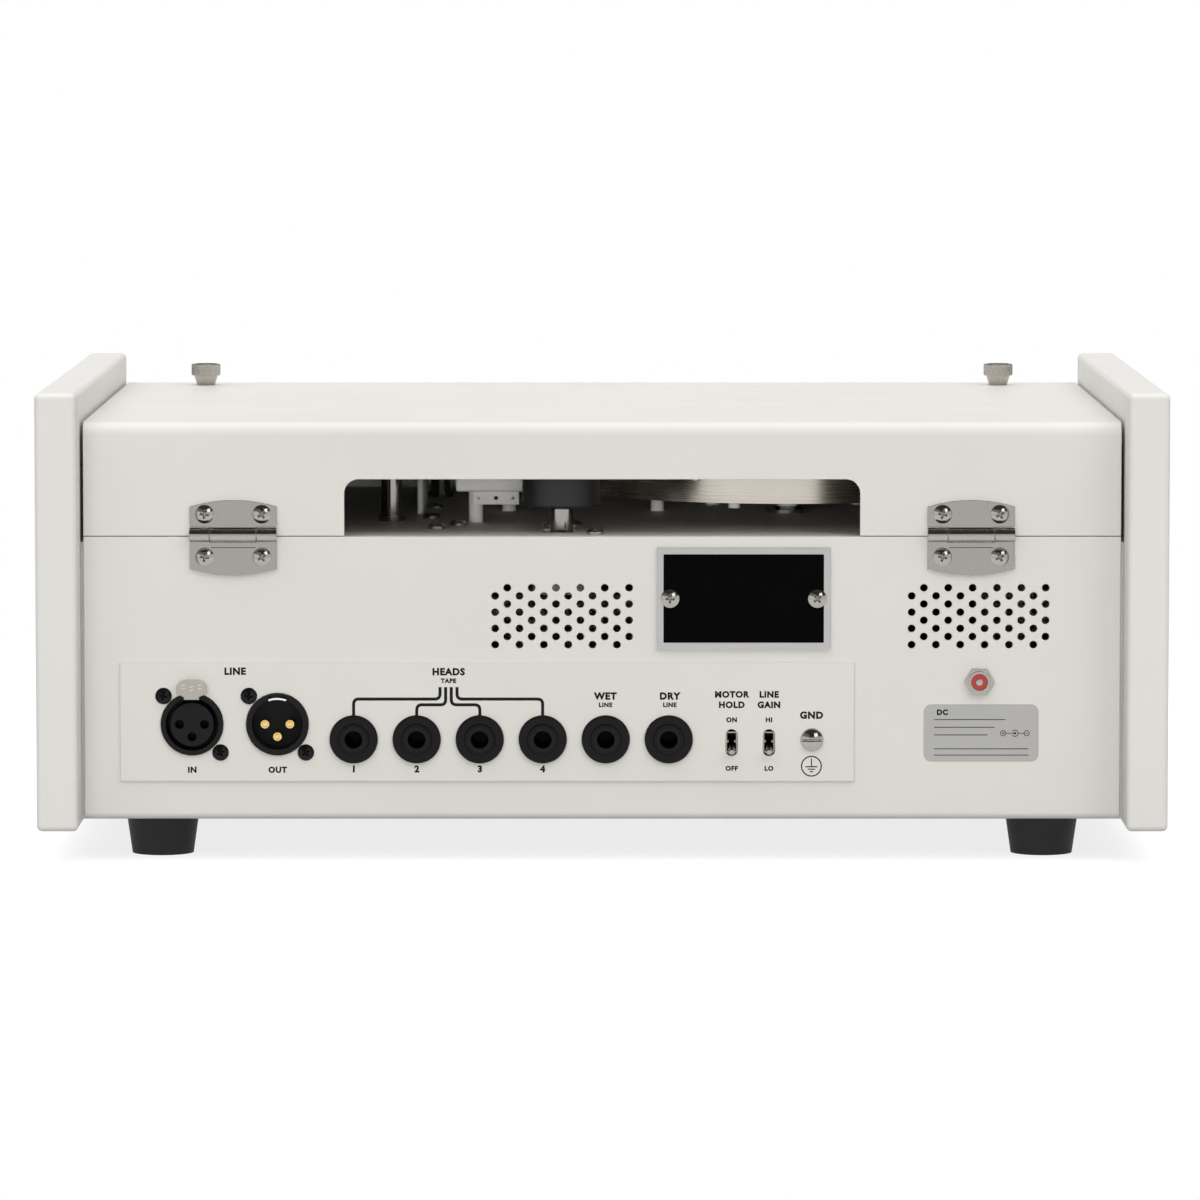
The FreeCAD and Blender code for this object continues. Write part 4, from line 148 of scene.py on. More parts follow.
# ---- meshes --------------------------------------------------------------------------------------
def mesh_piece(name, vertices, faces, body, material, smooth=False):
    """A mesh object from an array of points and a list of faces, riding on a body, its doubles merged."""
    mesh = bpy.data.meshes.new(name)
    mesh.from_pydata(np.asarray(vertices, float).tolist(), [], [list(map(int, face)) for face in faces])
    mesh.update()
    piece = bpy.data.objects.new(name, mesh)
    bpy.context.scene.collection.objects.link(piece)
    mesh.materials.append(material)
    if smooth:
        mesh.polygons.foreach_set("use_smooth", np.ones(len(mesh.polygons), bool))
        mesh.set_sharp_from_angle(angle=math.radians(35))
    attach(piece, body)
    merge_doubles(mesh)
    return piece


def grid_faces(rows, columns, wrap):
    """Quads between neighbouring rows and columns of a grid; wrap joins the last column to the first."""
    row = np.arange(rows - 1)[:, None]
    column = np.arange(columns if wrap else columns - 1)[None, :]
    after = (column + 1) % columns
    a = row * columns + column
    b = row * columns + after
    return np.stack([a, b, b + columns, a + columns], axis=-1).reshape(-1, 4)


def turned(profile, sides, ripple=None):
    """Points and faces of a profile of (radius, height) carried round the Z axis.

    Point (i, j) is (r cos a, r sin a, height) with a = 2 pi j / sides; ripple(height, angle, radius)
    gives an amount added to the radius. A first or last radius of nought closes as one point.
    """
    profile = np.asarray(profile, float)
    angle = np.linspace(0, 2 * math.pi, sides, endpoint=False)
    radius = np.repeat(profile[:, :1], sides, axis=1)
    height = np.repeat(profile[:, 1:2], sides, axis=1)
    if ripple is not None:
        radius = radius + np.where(radius > 0, ripple(height, angle[None, :], radius), 0)
    points = np.stack([radius * np.cos(angle), radius * np.sin(angle), height], axis=-1).reshape(-1, 3)
    return points, grid_faces(len(profile), sides, True)


TURNS = {
    "Z": np.array([[1, 0, 0], [0, 1, 0], [0, 0, 1]], float),
    "+Y": np.array([[1, 0, 0], [0, 0, 1], [0, -1, 0]], float),
    "-Y": np.array([[1, 0, 0], [0, 0, -1], [0, 1, 0]], float),
}


def set_down(points, turn, spot):
    """Points turned so that their own Z lies along a named direction, then moved to a spot."""
    return points @ TURNS[turn].T + np.asarray(spot, float)


def turned_piece(name, profile, sides, turn, spot, body, material, ripple=None):
    """A smooth piece from a turned profile, set down along a named direction."""
    points, faces = turned(profile, sides, ripple)
    return mesh_piece(name, set_down(points, turn, spot), faces, body, material, smooth=True)


def merge_doubles(mesh):
    """Join points that coincide and make every face point outwards."""
    work = bmesh.new()
    work.from_mesh(mesh)
    bmesh.ops.remove_doubles(work, verts=work.verts, dist=1e-7)
    bmesh.ops.dissolve_degenerate(work, edges=work.edges, dist=1e-8)
    bmesh.ops.recalc_face_normals(work, faces=work.faces)
    work.to_mesh(mesh)
    work.free()


# ---- shader node groups --------------------------------------------------------------------------
def new_group(name, inputs):
    """An empty shader group that puts out a colour, a roughness and a height, and its two end nodes."""
    group = bpy.data.node_groups.new(name, "ShaderNodeTree")
    kinds = {"float": "NodeSocketFloat", "color": "NodeSocketColor", "vector": "NodeSocketVector"}
    for label, kind, default in inputs:
        socket = group.interface.new_socket(label, in_out="INPUT", socket_type=kinds[kind])
        if default is not None:
            socket.default_value = default
    for label, kind in (("Color", "color"), ("Roughness", "float"), ("Height", "float")):
        group.interface.new_socket(label, in_out="OUTPUT", socket_type=kinds[kind])
    return group, group.nodes.new("NodeGroupInput"), group.nodes.new("NodeGroupOutput")


def feed(tree, socket, value):
    """Link another node's output to a socket, or set a number, a vector or an opaque colour on it."""
    if isinstance(value, bpy.types.NodeSocket):
        tree.links.new(value, socket)
    elif socket.type == "RGBA":
        socket.default_value = (*value, 1.0)
    else:
        socket.default_value = value


def arithmetic(tree, operation, *values):
    """Result of a Math node on sockets or numbers."""
    node = tree.nodes.new("ShaderNodeMath")
    node.operation = operation
    for socket, value in zip(node.inputs, values):
        feed(tree, socket, value)
    return node.outputs[0]


def vector_product(tree, first, second):
    node = tree.nodes.new("ShaderNodeVectorMath")
    node.operation = "MULTIPLY"
    feed(tree, node.inputs[0], first)
    feed(tree, node.inputs[1], second)
    return node.outputs[0]


def vector_length(tree, vector):
    node = tree.nodes.new("ShaderNodeVectorMath")
    node.operation = "LENGTH"
    tree.links.new(vector, node.inputs[0])
    return node.outputs["Value"]


def noise(tree, vector, scale, detail=2.0, roughness=0.5):
    node = tree.nodes.new("ShaderNodeTexNoise")
    node.inputs["Detail"].default_value = detail
    node.inputs["Roughness"].default_value = roughness
    feed(tree, node.inputs["Scale"], scale)
    tree.links.new(vector, node.inputs["Vector"])
    return node.outputs["Fac"]


def remap(tree, value, from_low, from_high, to_low, to_high):
    node = tree.nodes.new("ShaderNodeMapRange")
    numbers = {"Value": value, "From Min": from_low, "From Max": from_high, "To Min": to_low, "To Max": to_high}
    for label, number in numbers.items():
        feed(tree, node.inputs[label], number)
    return node.outputs["Result"]


def soft_edges(tree, radius):
    """Normals that roll over each sharp edge by a small radius, so that it catches the light."""
    node = tree.nodes.new("ShaderNodeBevel")
    node.samples = 4
    node.inputs["Radius"].default_value = radius
    return node.outputs["Normal"]


def bump(tree, height, strength, depth, normal=None):
    node = tree.nodes.new("ShaderNodeBump")
    if normal is not None:
        tree.links.new(normal, node.inputs["Normal"])
    node.inputs["Strength"].default_value = strength
    node.inputs["Distance"].default_value = depth
    tree.links.new(height, node.inputs["Height"])
    return node.outputs["Normal"]


def blend_colour(tree, factor, first, second):
    node = tree.nodes.new("ShaderNodeMix")
    node.data_type = "RGBA"
    tree.links.new(factor, node.inputs["Factor"])
    feed(tree, node.inputs[6], first)
    feed(tree, node.inputs[7], second)
    return node.outputs[2]


def group_outputs(group, start, end, value, gloss, height):
    """Feed a group's ends: its tone at a value, its gloss with an amount added, and a height."""
    shade = group.nodes.new("ShaderNodeHueSaturation")
    group.links.new(start.outputs["Tone"], shade.inputs["Color"])
    group.links.new(value, shade.inputs["Value"])
    group.links.new(shade.outputs["Color"], end.inputs["Color"])
    group.links.new(arithmetic(group, "ADD", start.outputs["Gloss"], gloss), end.inputs["Roughness"])
    group.links.new(height, end.inputs["Height"])
    return group


def coat_group():
    """Orange-peel height and a soft cloudy tone and gloss, as on a sprayed coat."""
    group, start, end = new_group("Sprayed coat", [
        ("Vector", "vector", None), ("Tone", "color", (0.7, 0.7, 0.7, 1)), ("Peel", "float", 900.0),
        ("Cloud", "float", 0.04), ("Gloss", "float", 0.4),
    ])
    place = start.outputs["Vector"]
    cloud = noise(group, place, 9.0, 3.0, 0.6)
    value = arithmetic(group, "SUBTRACT", 1.0, remap(group, cloud, 0.3, 0.7, 0.0, start.outputs["Cloud"]))
    gloss = remap(group, noise(group, place, 34.0, 4.0, 0.6), 0.35, 0.65, -0.04, 0.05)
    peel = noise(group, place, start.outputs["Peel"], 3.0, 0.55)
    return group_outputs(group, start, end, value, gloss, peel)


def brushing_group():
    """Long fine scratches along one axis: the pattern is stretched so that it hardly changes that way."""
    group, start, end = new_group("Brushed grain", [
        ("Vector", "vector", None), ("Stretch", "vector", (1, 40, 40)), ("Tone", "color", (0.6, 0.6, 0.6, 1)),
        ("Gloss", "float", 0.3),
    ])
    stretched = vector_product(group, start.outputs["Vector"], start.outputs["Stretch"])
    lines = noise(group, stretched, 60.0, 5.0, 0.65)
    value = remap(group, lines, 0.3, 0.7, 0.9, 1.06)
    return group_outputs(group, start, end, value, remap(group, lines, 0.3, 0.7, -0.04, 0.05), lines)


def moulding_group():
    """Fine spark-eroded grain and faint grey bloom of moulded plastic or rubber."""
    group, start, end = new_group("Moulded grain", [
        ("Vector", "vector", None), ("Tone", "color", (0.02, 0.02, 0.02, 1)), ("Grain", "float", 1500.0),
        ("Bloom", "float", 0.3), ("Gloss", "float", 0.45),
    ])
    place = start.outputs["Vector"]
    bloom = noise(group, place, 60.0, 4.0, 0.65)
    value = arithmetic(group, "ADD", 1.0, remap(group, bloom, 0.4, 0.75, 0.0, start.outputs["Bloom"]))
    gloss = remap(group, bloom, 0.35, 0.7, -0.05, 0.08)
    grain = noise(group, place, start.outputs["Grain"], 2.0, 0.5)
    return group_outputs(group, start, end, value, gloss, grain)


GROUPS = {}


def shared_group(key):
    makers = {"coat": coat_group, "brushing": brushing_group, "moulding": moulding_group}
    if key not in GROUPS:
        GROUPS[key] = makers[key]()
    return GROUPS[key]


# ---- materials -----------------------------------------------------------------------------------
def material(name, metallic=0.0, coat=0.0, specular=0.5):
    """A material with its Principled shader, and an Object coordinate node."""
    made = bpy.data.materials.new(name)
    made.use_nodes = True
    shader = made.node_tree.nodes["Principled BSDF"]
    shader.inputs["Metallic"].default_value = metallic
    shader.inputs["Coat Weight"].default_value = coat
    shader.inputs["Coat Roughness"].default_value = 0.1
    shader.inputs["Specular IOR Level"].default_value = specular
    place = made.node_tree.nodes.new("ShaderNodeTexCoord")
    return made, made.node_tree, shader, place.outputs["Object"]


def grained(name, key, tone, values, relief, depth, edge=0.25 * MM, **shader_values):
    """A material whose colour, roughness and relief come from one of the shared groups."""
    made, tree, shader, place = material(name, **shader_values)
    node = tree.nodes.new("ShaderNodeGroup")
    node.node_tree = shared_group(key)
    for label, value in {"Vector": place, "Tone": tone, **values}.items():
        feed(tree, node.inputs[label], value)
    tree.links.new(node.outputs["Color"], shader.inputs["Base Color"])
    tree.links.new(node.outputs["Roughness"], shader.inputs["Roughness"])
    normal = bump(tree, node.outputs["Height"], relief, depth, soft_edges(tree, edge))
    tree.links.new(normal, shader.inputs["Normal"])
    return made


def powder_coat(name, tone, gloss=0.42):
    values = {"Peel": 1100.0, "Cloud": 0.035, "Gloss": gloss}
    return grained(name, "coat", tone, values, 0.12, 0.00008, 0.45 * MM)


def lacquered_board(name, tone):
    return grained(name, "coat", tone, {"Peel": 420.0, "Cloud": 0.03, "Gloss": 0.46}, 0.06, 0.0001)


def bright_metal(name, tone, gloss=0.12, relief=0.02):
    """Plated metal: a nearly smooth mirror with faint polishing lines."""
    values = {"Stretch": (30.0, 30.0, 30.0), "Gloss": gloss}
    return grained(name, "brushing", tone, values, relief, 0.00002, metallic=1.0)


def brushed_metal(name, tone, stretch, gloss=0.3):
    return grained(name, "brushing", tone, {"Stretch": stretch, "Gloss": gloss}, 0.12, 0.00003, metallic=1.0)


def moulded(name, tone, gloss=0.42, grain=1500.0, bloom=0.3, relief=0.1, **shader_values):
    values = {"Grain": grain, "Bloom": bloom, "Gloss": gloss}
    return grained(name, "moulding", tone, values, relief, 0.00006, **shader_values)


def shaded(tone, amount):
    """A colour times an amount, with no channel above one."""
    return tuple(min(1.0, amount * channel) for channel in tone)


def mottle(tree, shader, pattern, edges, first, second):
    """Colour a shader from one tone to another as a pattern rises between two edges."""
    share = remap(tree, pattern, *edges, 0.0, 1.0)
    tree.links.new(blend_colour(tree, share, first, second), shader.inputs["Base Color"])


def spun_metal(name, tone, node, gloss=0.26, axis="Z"):
    """Metal turned on a lathe: the grain follows the distance from the piece's own axis."""
    made, tree, shader, place = material(name, metallic=1.0)
    flatten = np.array([letter != axis for letter in "XYZ"], float)
    centre = tree.nodes.new("ShaderNodeMapping")
    centre.vector_type = "POINT"
    centre.inputs["Location"].default_value = tuple(-middle(node) * flatten)
    tree.links.new(place, centre.inputs["Vector"])
    flat = vector_product(tree, centre.outputs["Vector"], tuple(flatten))
    apart = tree.nodes.new("ShaderNodeSeparateXYZ")
    tree.links.new(centre.outputs["Vector"], apart.inputs[0])
    rings = tree.nodes.new("ShaderNodeCombineXYZ")
    tree.links.new(vector_length(tree, flat), rings.inputs["X"])
    tree.links.new(apart.outputs[axis], rings.inputs["Y"])
    lines = noise(tree, rings.outputs[0], 2600.0, 4.0, 0.6)
    mottle(tree, shader, lines, (0.3, 0.7), shaded(tone, 0.8), tone)
    tree.links.new(remap(tree, lines, 0.3, 0.7, gloss - 0.06, gloss + 0.08), shader.inputs["Roughness"])
    tree.links.new(bump(tree, lines, 0.15, 0.00003), shader.inputs["Normal"])
    return made


def felt(name, tone):
    """Matted fibres: tangled noise for colour and a deep soft relief, with a dull sheen."""
    made, tree, shader, place = material(name, specular=0.2)
    shader.inputs["Sheen Weight"].default_value = 0.5
    shader.inputs["Roughness"].default_value = 0.95
    fibre = noise(tree, place, 1800.0, 6.0, 0.75)
    mottle(tree, shader, fibre, (0.35, 0.65), tone, shaded(tone, 1.9))
    tree.links.new(bump(tree, fibre, 0.7, 0.0004), shader.inputs["Normal"])
    return made


def ink(name, tone):
    """Screen-printed ink: flat colour with a slight break-up at fine scale."""
    return moulded(name, tone, gloss=0.6, grain=2500.0, bloom=0.4, relief=0.03, specular=0.2)


def glass(name):
    """A thin clear window with faint smears."""
    made, tree, shader, place = material(name)
    shader.inputs["Base Color"].default_value = (1, 1, 1, 1)
    shader.inputs["Transmission Weight"].default_value = 1.0
    shader.inputs["IOR"].default_value = 1.45
    smear = noise(tree, place, 40.0, 3.0, 0.6)
    tree.links.new(remap(tree, smear, 0.4, 0.7, 0.01, 0.05), shader.inputs["Roughness"])
    return made


def lens(name, tone):
    """Coloured clear plastic lens."""
    made, tree, shader, place = material(name, coat=0.6)
    mottle(tree, shader, noise(tree, place, 300.0, 2.0, 0.5), (0.3, 0.7), shaded(tone, 0.6), tone)
    shader.inputs["Roughness"].default_value = 0.18
    shader.inputs["Transmission Weight"].default_value = 0.35
    return made


def wound_tape(name, tone, node):
    """Edges of wound tape: fine rings whose tone steps from layer to layer."""
    made = spun_metal(name, shaded(tone, 2.2), node, gloss=0.38)
    made.node_tree.nodes["Principled BSDF"].inputs["Metallic"].default_value = 0.0
    return made


KNOBS = ("input_level_knob", "echo_level_knob", "repeat_knob", "speed_knob", "mode_selector_knob")
FINISHES = {}


def finish(key):
    return FINISHES[key]


def make_finishes():
    """Every finish of the unit, by a plain name."""
    tone = paints()
    FINISHES.update({
        "case white": powder_coat("case_powder_coat", tone.case_white),
        "front white": powder_coat("front_powder_coat", tone.front_white),
        "board white": lacquered_board("board_lacquer", tone.board_white),
        "deck grey": powder_coat("deck_paint", tone.deck_grey, 0.5),
        "bridge grey": powder_coat("bridge_paint", tone.bridge_grey, 0.45),
        "chrome": bright_metal("bright_chrome", (0.37, 0.36, 0.33)),
        "nickel": bright_metal("dull_nickel", (0.42, 0.40, 0.365), 0.26, 0.03),
        "black screw": grained("black_oxide_screw", "brushing", (0.012, 0.012, 0.013),
                               {"Stretch": (8.0, 8.0, 8.0), "Gloss": 0.35}, 0.05, 0.00002, metallic=0.8),
        "gold": bright_metal("contact_gold", (0.86, 0.62, 0.24), 0.22),
        "brass": brushed_metal("turned_brass", (0.70, 0.52, 0.24), (8.0, 8.0, 1.0), 0.32),
        "plate metal": brushed_metal("nameplate_metal", (0.50, 0.50, 0.49), (1.0, 60.0, 60.0), 0.34),
        "knurled metal": bright_metal("knurled_nickel", (0.50, 0.475, 0.435), 0.24, 0.03),
        "steel": brushed_metal("machined_steel", (0.55, 0.55, 0.54), (10.0, 10.0, 2.0), 0.28),
        "black moulding": moulded("socket_moulding", tone.moulding_black, specular=0.15),
        "black nut": moulded("nut_moulding", (0.0035, 0.0035, 0.0037), gloss=0.34, grain=900.0, bloom=0.6,
                             specular=0.15),
        **{f"{node} cap": spun_metal(f"{node}_spun_cap", (0.6, 0.6, 0.6), node, axis="Y") for node in KNOBS},
        "knob black": moulded("knob_moulding", tone.moulding_black, gloss=0.36, bloom=0.5),
        "latch grey": moulded("latch_moulding", tone.latch_grey, gloss=0.4, bloom=0.08),
        "white moulding": moulded("white_moulding", (0.72, 0.72, 0.70), gloss=0.4, bloom=0.02),
        "insulator red": moulded("inlet_insulator", tone.insulator_red, gloss=0.3, bloom=0.1, coat=0.3),
        "foot rubber": moulded("foot_rubber", (0.014, 0.014, 0.014), gloss=0.62, grain=700.0, bloom=0.9,
                               relief=0.2, specular=0.3),
        "roller rubber": moulded("roller_rubber", (0.012, 0.012, 0.012), gloss=0.5, grain=1200.0, bloom=0.5),
        "belt rubber": moulded("belt_rubber", (0.016, 0.016, 0.016), gloss=0.6, bloom=0.4),
        "board green": moulded("solder_mask", tone.board_green, gloss=0.3, grain=400.0, bloom=0.8, coat=0.3),
        "ink": ink("print_ink", tone.ink),
        "white ink": ink("white_print_ink", (0.72, 0.72, 0.70)),
        "label grey": moulded("label_film", tone.label_grey, gloss=0.35, grain=2600.0, bloom=0.04,
                              relief=0.03),
        "plate black": moulded("nameplate_enamel", tone.plate_black, gloss=0.42, grain=2200.0, bloom=0.3,
                               relief=0.03, specular=0.02),
        "dial cream": moulded("dial_card", tone.dial_cream, gloss=0.6, grain=1800.0, bloom=0.03),
        "pointer red": moulded("red_pointer_paint", (0.5, 0.03, 0.02), gloss=0.4, bloom=0.05),
        "felt": felt("pad_felt", tone.felt_grey),
        "tape": moulded("tape_oxide", tone.tape_brown, gloss=0.35, grain=2600.0, bloom=0.1, relief=0.02),
        "tape pack": wound_tape("tape_edges", tone.tape_brown, "tape_pack"),
        "tray metal": spun_metal("spun_tray", (0.78, 0.72, 0.645), "tape_tray"),
        "wheel metal": spun_metal("turned_flywheel", (0.5, 0.5, 0.49), "capstan"),
        "glass": glass("meter_glass"),
        "amber lens": lens("lamp_lens", tone.lamp_amber),
    })


FINISH_NODES = {
    "case white": ("base_chassis", "connector_plate", "lid"),
    "board white": ("side_panel_left", "side_panel_right"),
    "front white": ("front_panel",),
    "deck grey": ("deck_plate",),
    "plate metal": ("nameplate",),
    "foot rubber": ("rubber_feet",),
    "nickel": ("chassis_screws", "dc_inlet", "control_bodies", "thumbscrew_left", "thumbscrew_right"),
    "chrome": (
        "hinge_base_leaves", "hinge_lid_leaves", "panel_screws", "hinge_lid_screws", "auto_stop_lever",
        "output_level_lever", "power_switch_lever", "earth_terminal", "pinch_arm", "tape_guides",
    ),
    "steel": ("lid_posts", "deck_bearings", "drive_motor", "record_head", "playback_heads"),
    "black moulding": (
        "xlr_input_socket", "xlr_output_socket", "jack_sockets", "toggle_switch_bodies", "erase_head",
        "board_components", "meter_case",
    ),
    "gold": ("xlr_output_pins",),
    "black screw": ("xlr_screws",),
    "latch grey": ("xlr_latch",),
    "black nut": ("jack_nuts",),
    "insulator red": ("dc_inlet_insulator",),
    "tape": ("tape_run",),
    "tape pack": ("tape_pack",),
    "belt rubber": ("drive_belt",),
    "tray metal": ("tape_tray", "tray_cover"),
    "white moulding": ("tray_supports", "turntable"),
    "brass": ("motor_pulley",),
    "wheel metal": ("capstan",),
    "roller rubber": ("pinch_roller",),
    "bridge grey": ("head_bridge",),
    "felt": ("pressure_pad",),
    "board green": ("circuit_board",),
    "pointer red": ("meter_needle",),
    "knob black": ("mode_selector_knob", "input_level_knob", "echo_level_knob", "repeat_knob", "speed_knob"),
}


# ---- flat marks ----------------------------------------------------------------------------------
SIDES = {
    "rear": (np.array([-1, 0, 0], float), np.array([0, 0, 1], float), np.array([0, 1, 0], float)),
    "front": (np.array([1, 0, 0], float), np.array([0, 0, 1], float), np.array([0, -1, 0], float)),
}


def lay_on(side, flat, spot):
    """Points (across, up, out) in a face's own directions, carried to the unit's frame at a spot.

    Across runs to the reader's right on that face, and out points away from it.
    """
    across, up, out = SIDES[side]
    flat = np.asarray(flat, float)
    return flat[:, :1] * across + flat[:, 1:2] * up + flat[:, 2:3] * out + np.asarray(spot, float)


def flat_piece(name, side, shape, spot, body, material):
    """A piece from a flat shape (its points and faces), laid on a face at a spot."""
    points, faces = shape
    return mesh_piece(name, lay_on(side, points, spot), faces, body, material)


def strip(points, width, thick, closed=False):
    """A flat strip of even width along a path: at each point both edges lie half the width away,
    square to the path and lengthened at a bend by one over the cosine of half the turn."""
    points = np.asarray(points, float)
    before = np.roll(points, 1, axis=0)
    after = np.roll(points, -1, axis=0)
    if not closed:
        before[0] = 2 * points[0] - points[1]
        after[-1] = 2 * points[-1] - points[-2]
    way_in = points - before
    way_out = after - points
    way_in /= np.linalg.norm(way_in, axis=1, keepdims=True)
    way_out /= np.linalg.norm(way_out, axis=1, keepdims=True)
    along = way_in + way_out
    along /= np.linalg.norm(along, axis=1, keepdims=True)
    square = np.stack([-along[:, 1], along[:, 0]], axis=1)
    reach = width / 2 / np.sum(along * way_out, axis=1, keepdims=True)
    left = points + square * reach
    right = points - square * reach
    flat = np.zeros((len(points), 1))
    top = np.full((len(points), 1), thick)
    rings = np.stack([np.hstack([left, flat]), np.hstack([right, flat]), np.hstack([right, top]),
                      np.hstack([left, top])], axis=1).reshape(-1, 3)
    faces = grid_faces(len(points), 4, True).tolist()
    last = 4 * (len(points) - 1)
    if closed:
        faces += [[last + a, last + (a + 1) % 4, (a + 1) % 4, a] for a in range(4)]
    else:
        faces += [[3, 2, 1, 0], [last, last + 1, last + 2, last + 3]]
    return rings, faces


def arc(radius, start, end, count, centre=(0.0, 0.0)):
    """Points of an arc, with angles in degrees."""
    angle = np.radians(np.linspace(start, end, count))
    return np.stack([centre[0] + radius * np.cos(angle), centre[1] + radius * np.sin(angle)], axis=1)


def rounded_path(points, radius, count=6):
    """A path whose inner corners become quadratic curves that start and end a radius away."""
    points = np.asarray(points, float)
    share = np.linspace(0, 1, count)[:, None]
    path = [points[:1]]
    for before, corner, after in zip(points, points[1:], points[2:]):
        first = corner + (before - corner) / np.linalg.norm(before - corner) * radius
        last = corner + (after - corner) / np.linalg.norm(after - corner) * radius
        path.append((1 - share) ** 2 * first + 2 * share * (1 - share) * corner + share ** 2 * last)
    return np.vstack([*path, points[-1:]])


def rounded_outline(wide, tall, radius, count=8):
    """Corner arcs of a rectangle with rounded corners, anticlockwise about the middle."""
    x = wide / 2 - radius
    y = tall / 2 - radius
    corners = ((x, y, 0), (-x, y, 90), (-x, -y, 180), (x, -y, 270))
    return np.vstack([arc(radius, start, start + 90, count, (a, b)) for a, b, start in corners])


def slab(outline, thick, edge=0.0):
    """A plate with a given outline: its wall rises to the thickness, less a bevel of the given edge."""
    outline = np.asarray(outline, float)
    centre = outline.mean(axis=0)
    away = outline - centre
    inner = outline - edge * away / np.linalg.norm(away, axis=1, keepdims=True)
    count = len(outline)
    layers = [(outline, 0.0), (outline, thick)]
    if edge:
        layers = [(outline, 0.0), (outline, thick - edge), (inner, thick)]
    points = np.vstack([np.hstack([ring, np.full((count, 1), height)]) for ring, height in layers])
    faces = grid_faces(len(layers), count, True).tolist()
    top = (len(layers) - 1) * count
    faces += [list(range(count))[::-1], list(range(top, top + count))]
    return points, faces


CAPITAL = 0.73


def words(text, height, thick, bold=0.055, broad=1.02):
    """Points and faces of a line of capitals, centred, with the given cap height and thickness; broad
    stretches them across."""
    curve = bpy.data.curves.new("letters", "FONT")
    curve.body = text
    curve.align_x = "CENTER"
    curve.align_y = "CENTER"
    curve.resolution_u = 3
    curve.offset = bold
    curve.space_character = 1.14
    curve.extrude = 0.01
    carrier = bpy.data.objects.new("letters", curve)
    mesh = bpy.data.meshes.new_from_object(carrier)
    points = np.empty(3 * len(mesh.vertices))
    mesh.vertices.foreach_get("co", points)
    points = points.reshape(-1, 3)
    faces = [list(face.vertices) for face in mesh.polygons]
    bpy.data.objects.remove(carrier)
    bpy.data.curves.remove(curve)
    bpy.data.meshes.remove(mesh)
    span = points[:, 1].max() - points[:, 1].min()
    size = height / CAPITAL if span < CAPITAL * 1.4 else height / span
    depth = points[:, 2]
    lifted = (depth - depth.min()) / (depth.max() - depth.min()) * thick
    middle_height = (points[:, 1].max() + points[:, 1].min()) / 2
    across = points[:, 0] * size * broad
    up = (points[:, 1] - middle_height) * size
    return np.stack([across, up, lifted], axis=1), faces


class Print:
    """Collects flat marks of one ink on one face, so that they become a single piece."""

    def __init__(self, side, face):
        self.side = side
        self.face = face
        self.points = []
        self.faces = []
        self.count = 0

    def add(self, shape, x, z):
        """Lay a shape (its points and faces) on the face, its own middle at x and z."""
        points, faces = shape
        self.points.append(lay_on(self.side, points, (x, self.face, z)))
        self.faces += [[index + self.count for index in face] for face in faces]
        self.count += len(points)

    def text(self, line, x, z, height):
        self.add(words(line, height, marks().lift), x * MM, z * MM)

    def line(self, path, width=None, closed=False):
        """A line through points given as x and z in millimetres."""
        across = SIDES[self.side][0][0]
        flat = np.asarray(path, float) * MM * np.array([across, 1])
        self.add(strip(flat, width or marks().stroke, marks().lift, closed), 0.0, 0.0)

    def piece(self, name, body, finish_name, slot):
        made = mesh_piece(name, np.vstack(self.points), self.faces, body, finish(finish_name))
        return made


def ring_points(x, z, radius, count=48):
    return arc(radius, 0, 360 - 360 / count, count, (x, z))


# ---- rear face -----------------------------------------------------------------------------------
JACK_ROW = (90.6, 67.6, 44.6, 21.7)
LEAD_DROPS = (59.1, 57.05, 55.0, 52.9)
LEAD_TOP = 63.9
LEAD_OUTER = 59.5
LEAD_INNER = 57.4
LEAD_FOOT = 53.4
EARTH_X = -76.3
EARTH_Z = 34.9
EARTH_RADIUS = 3.6


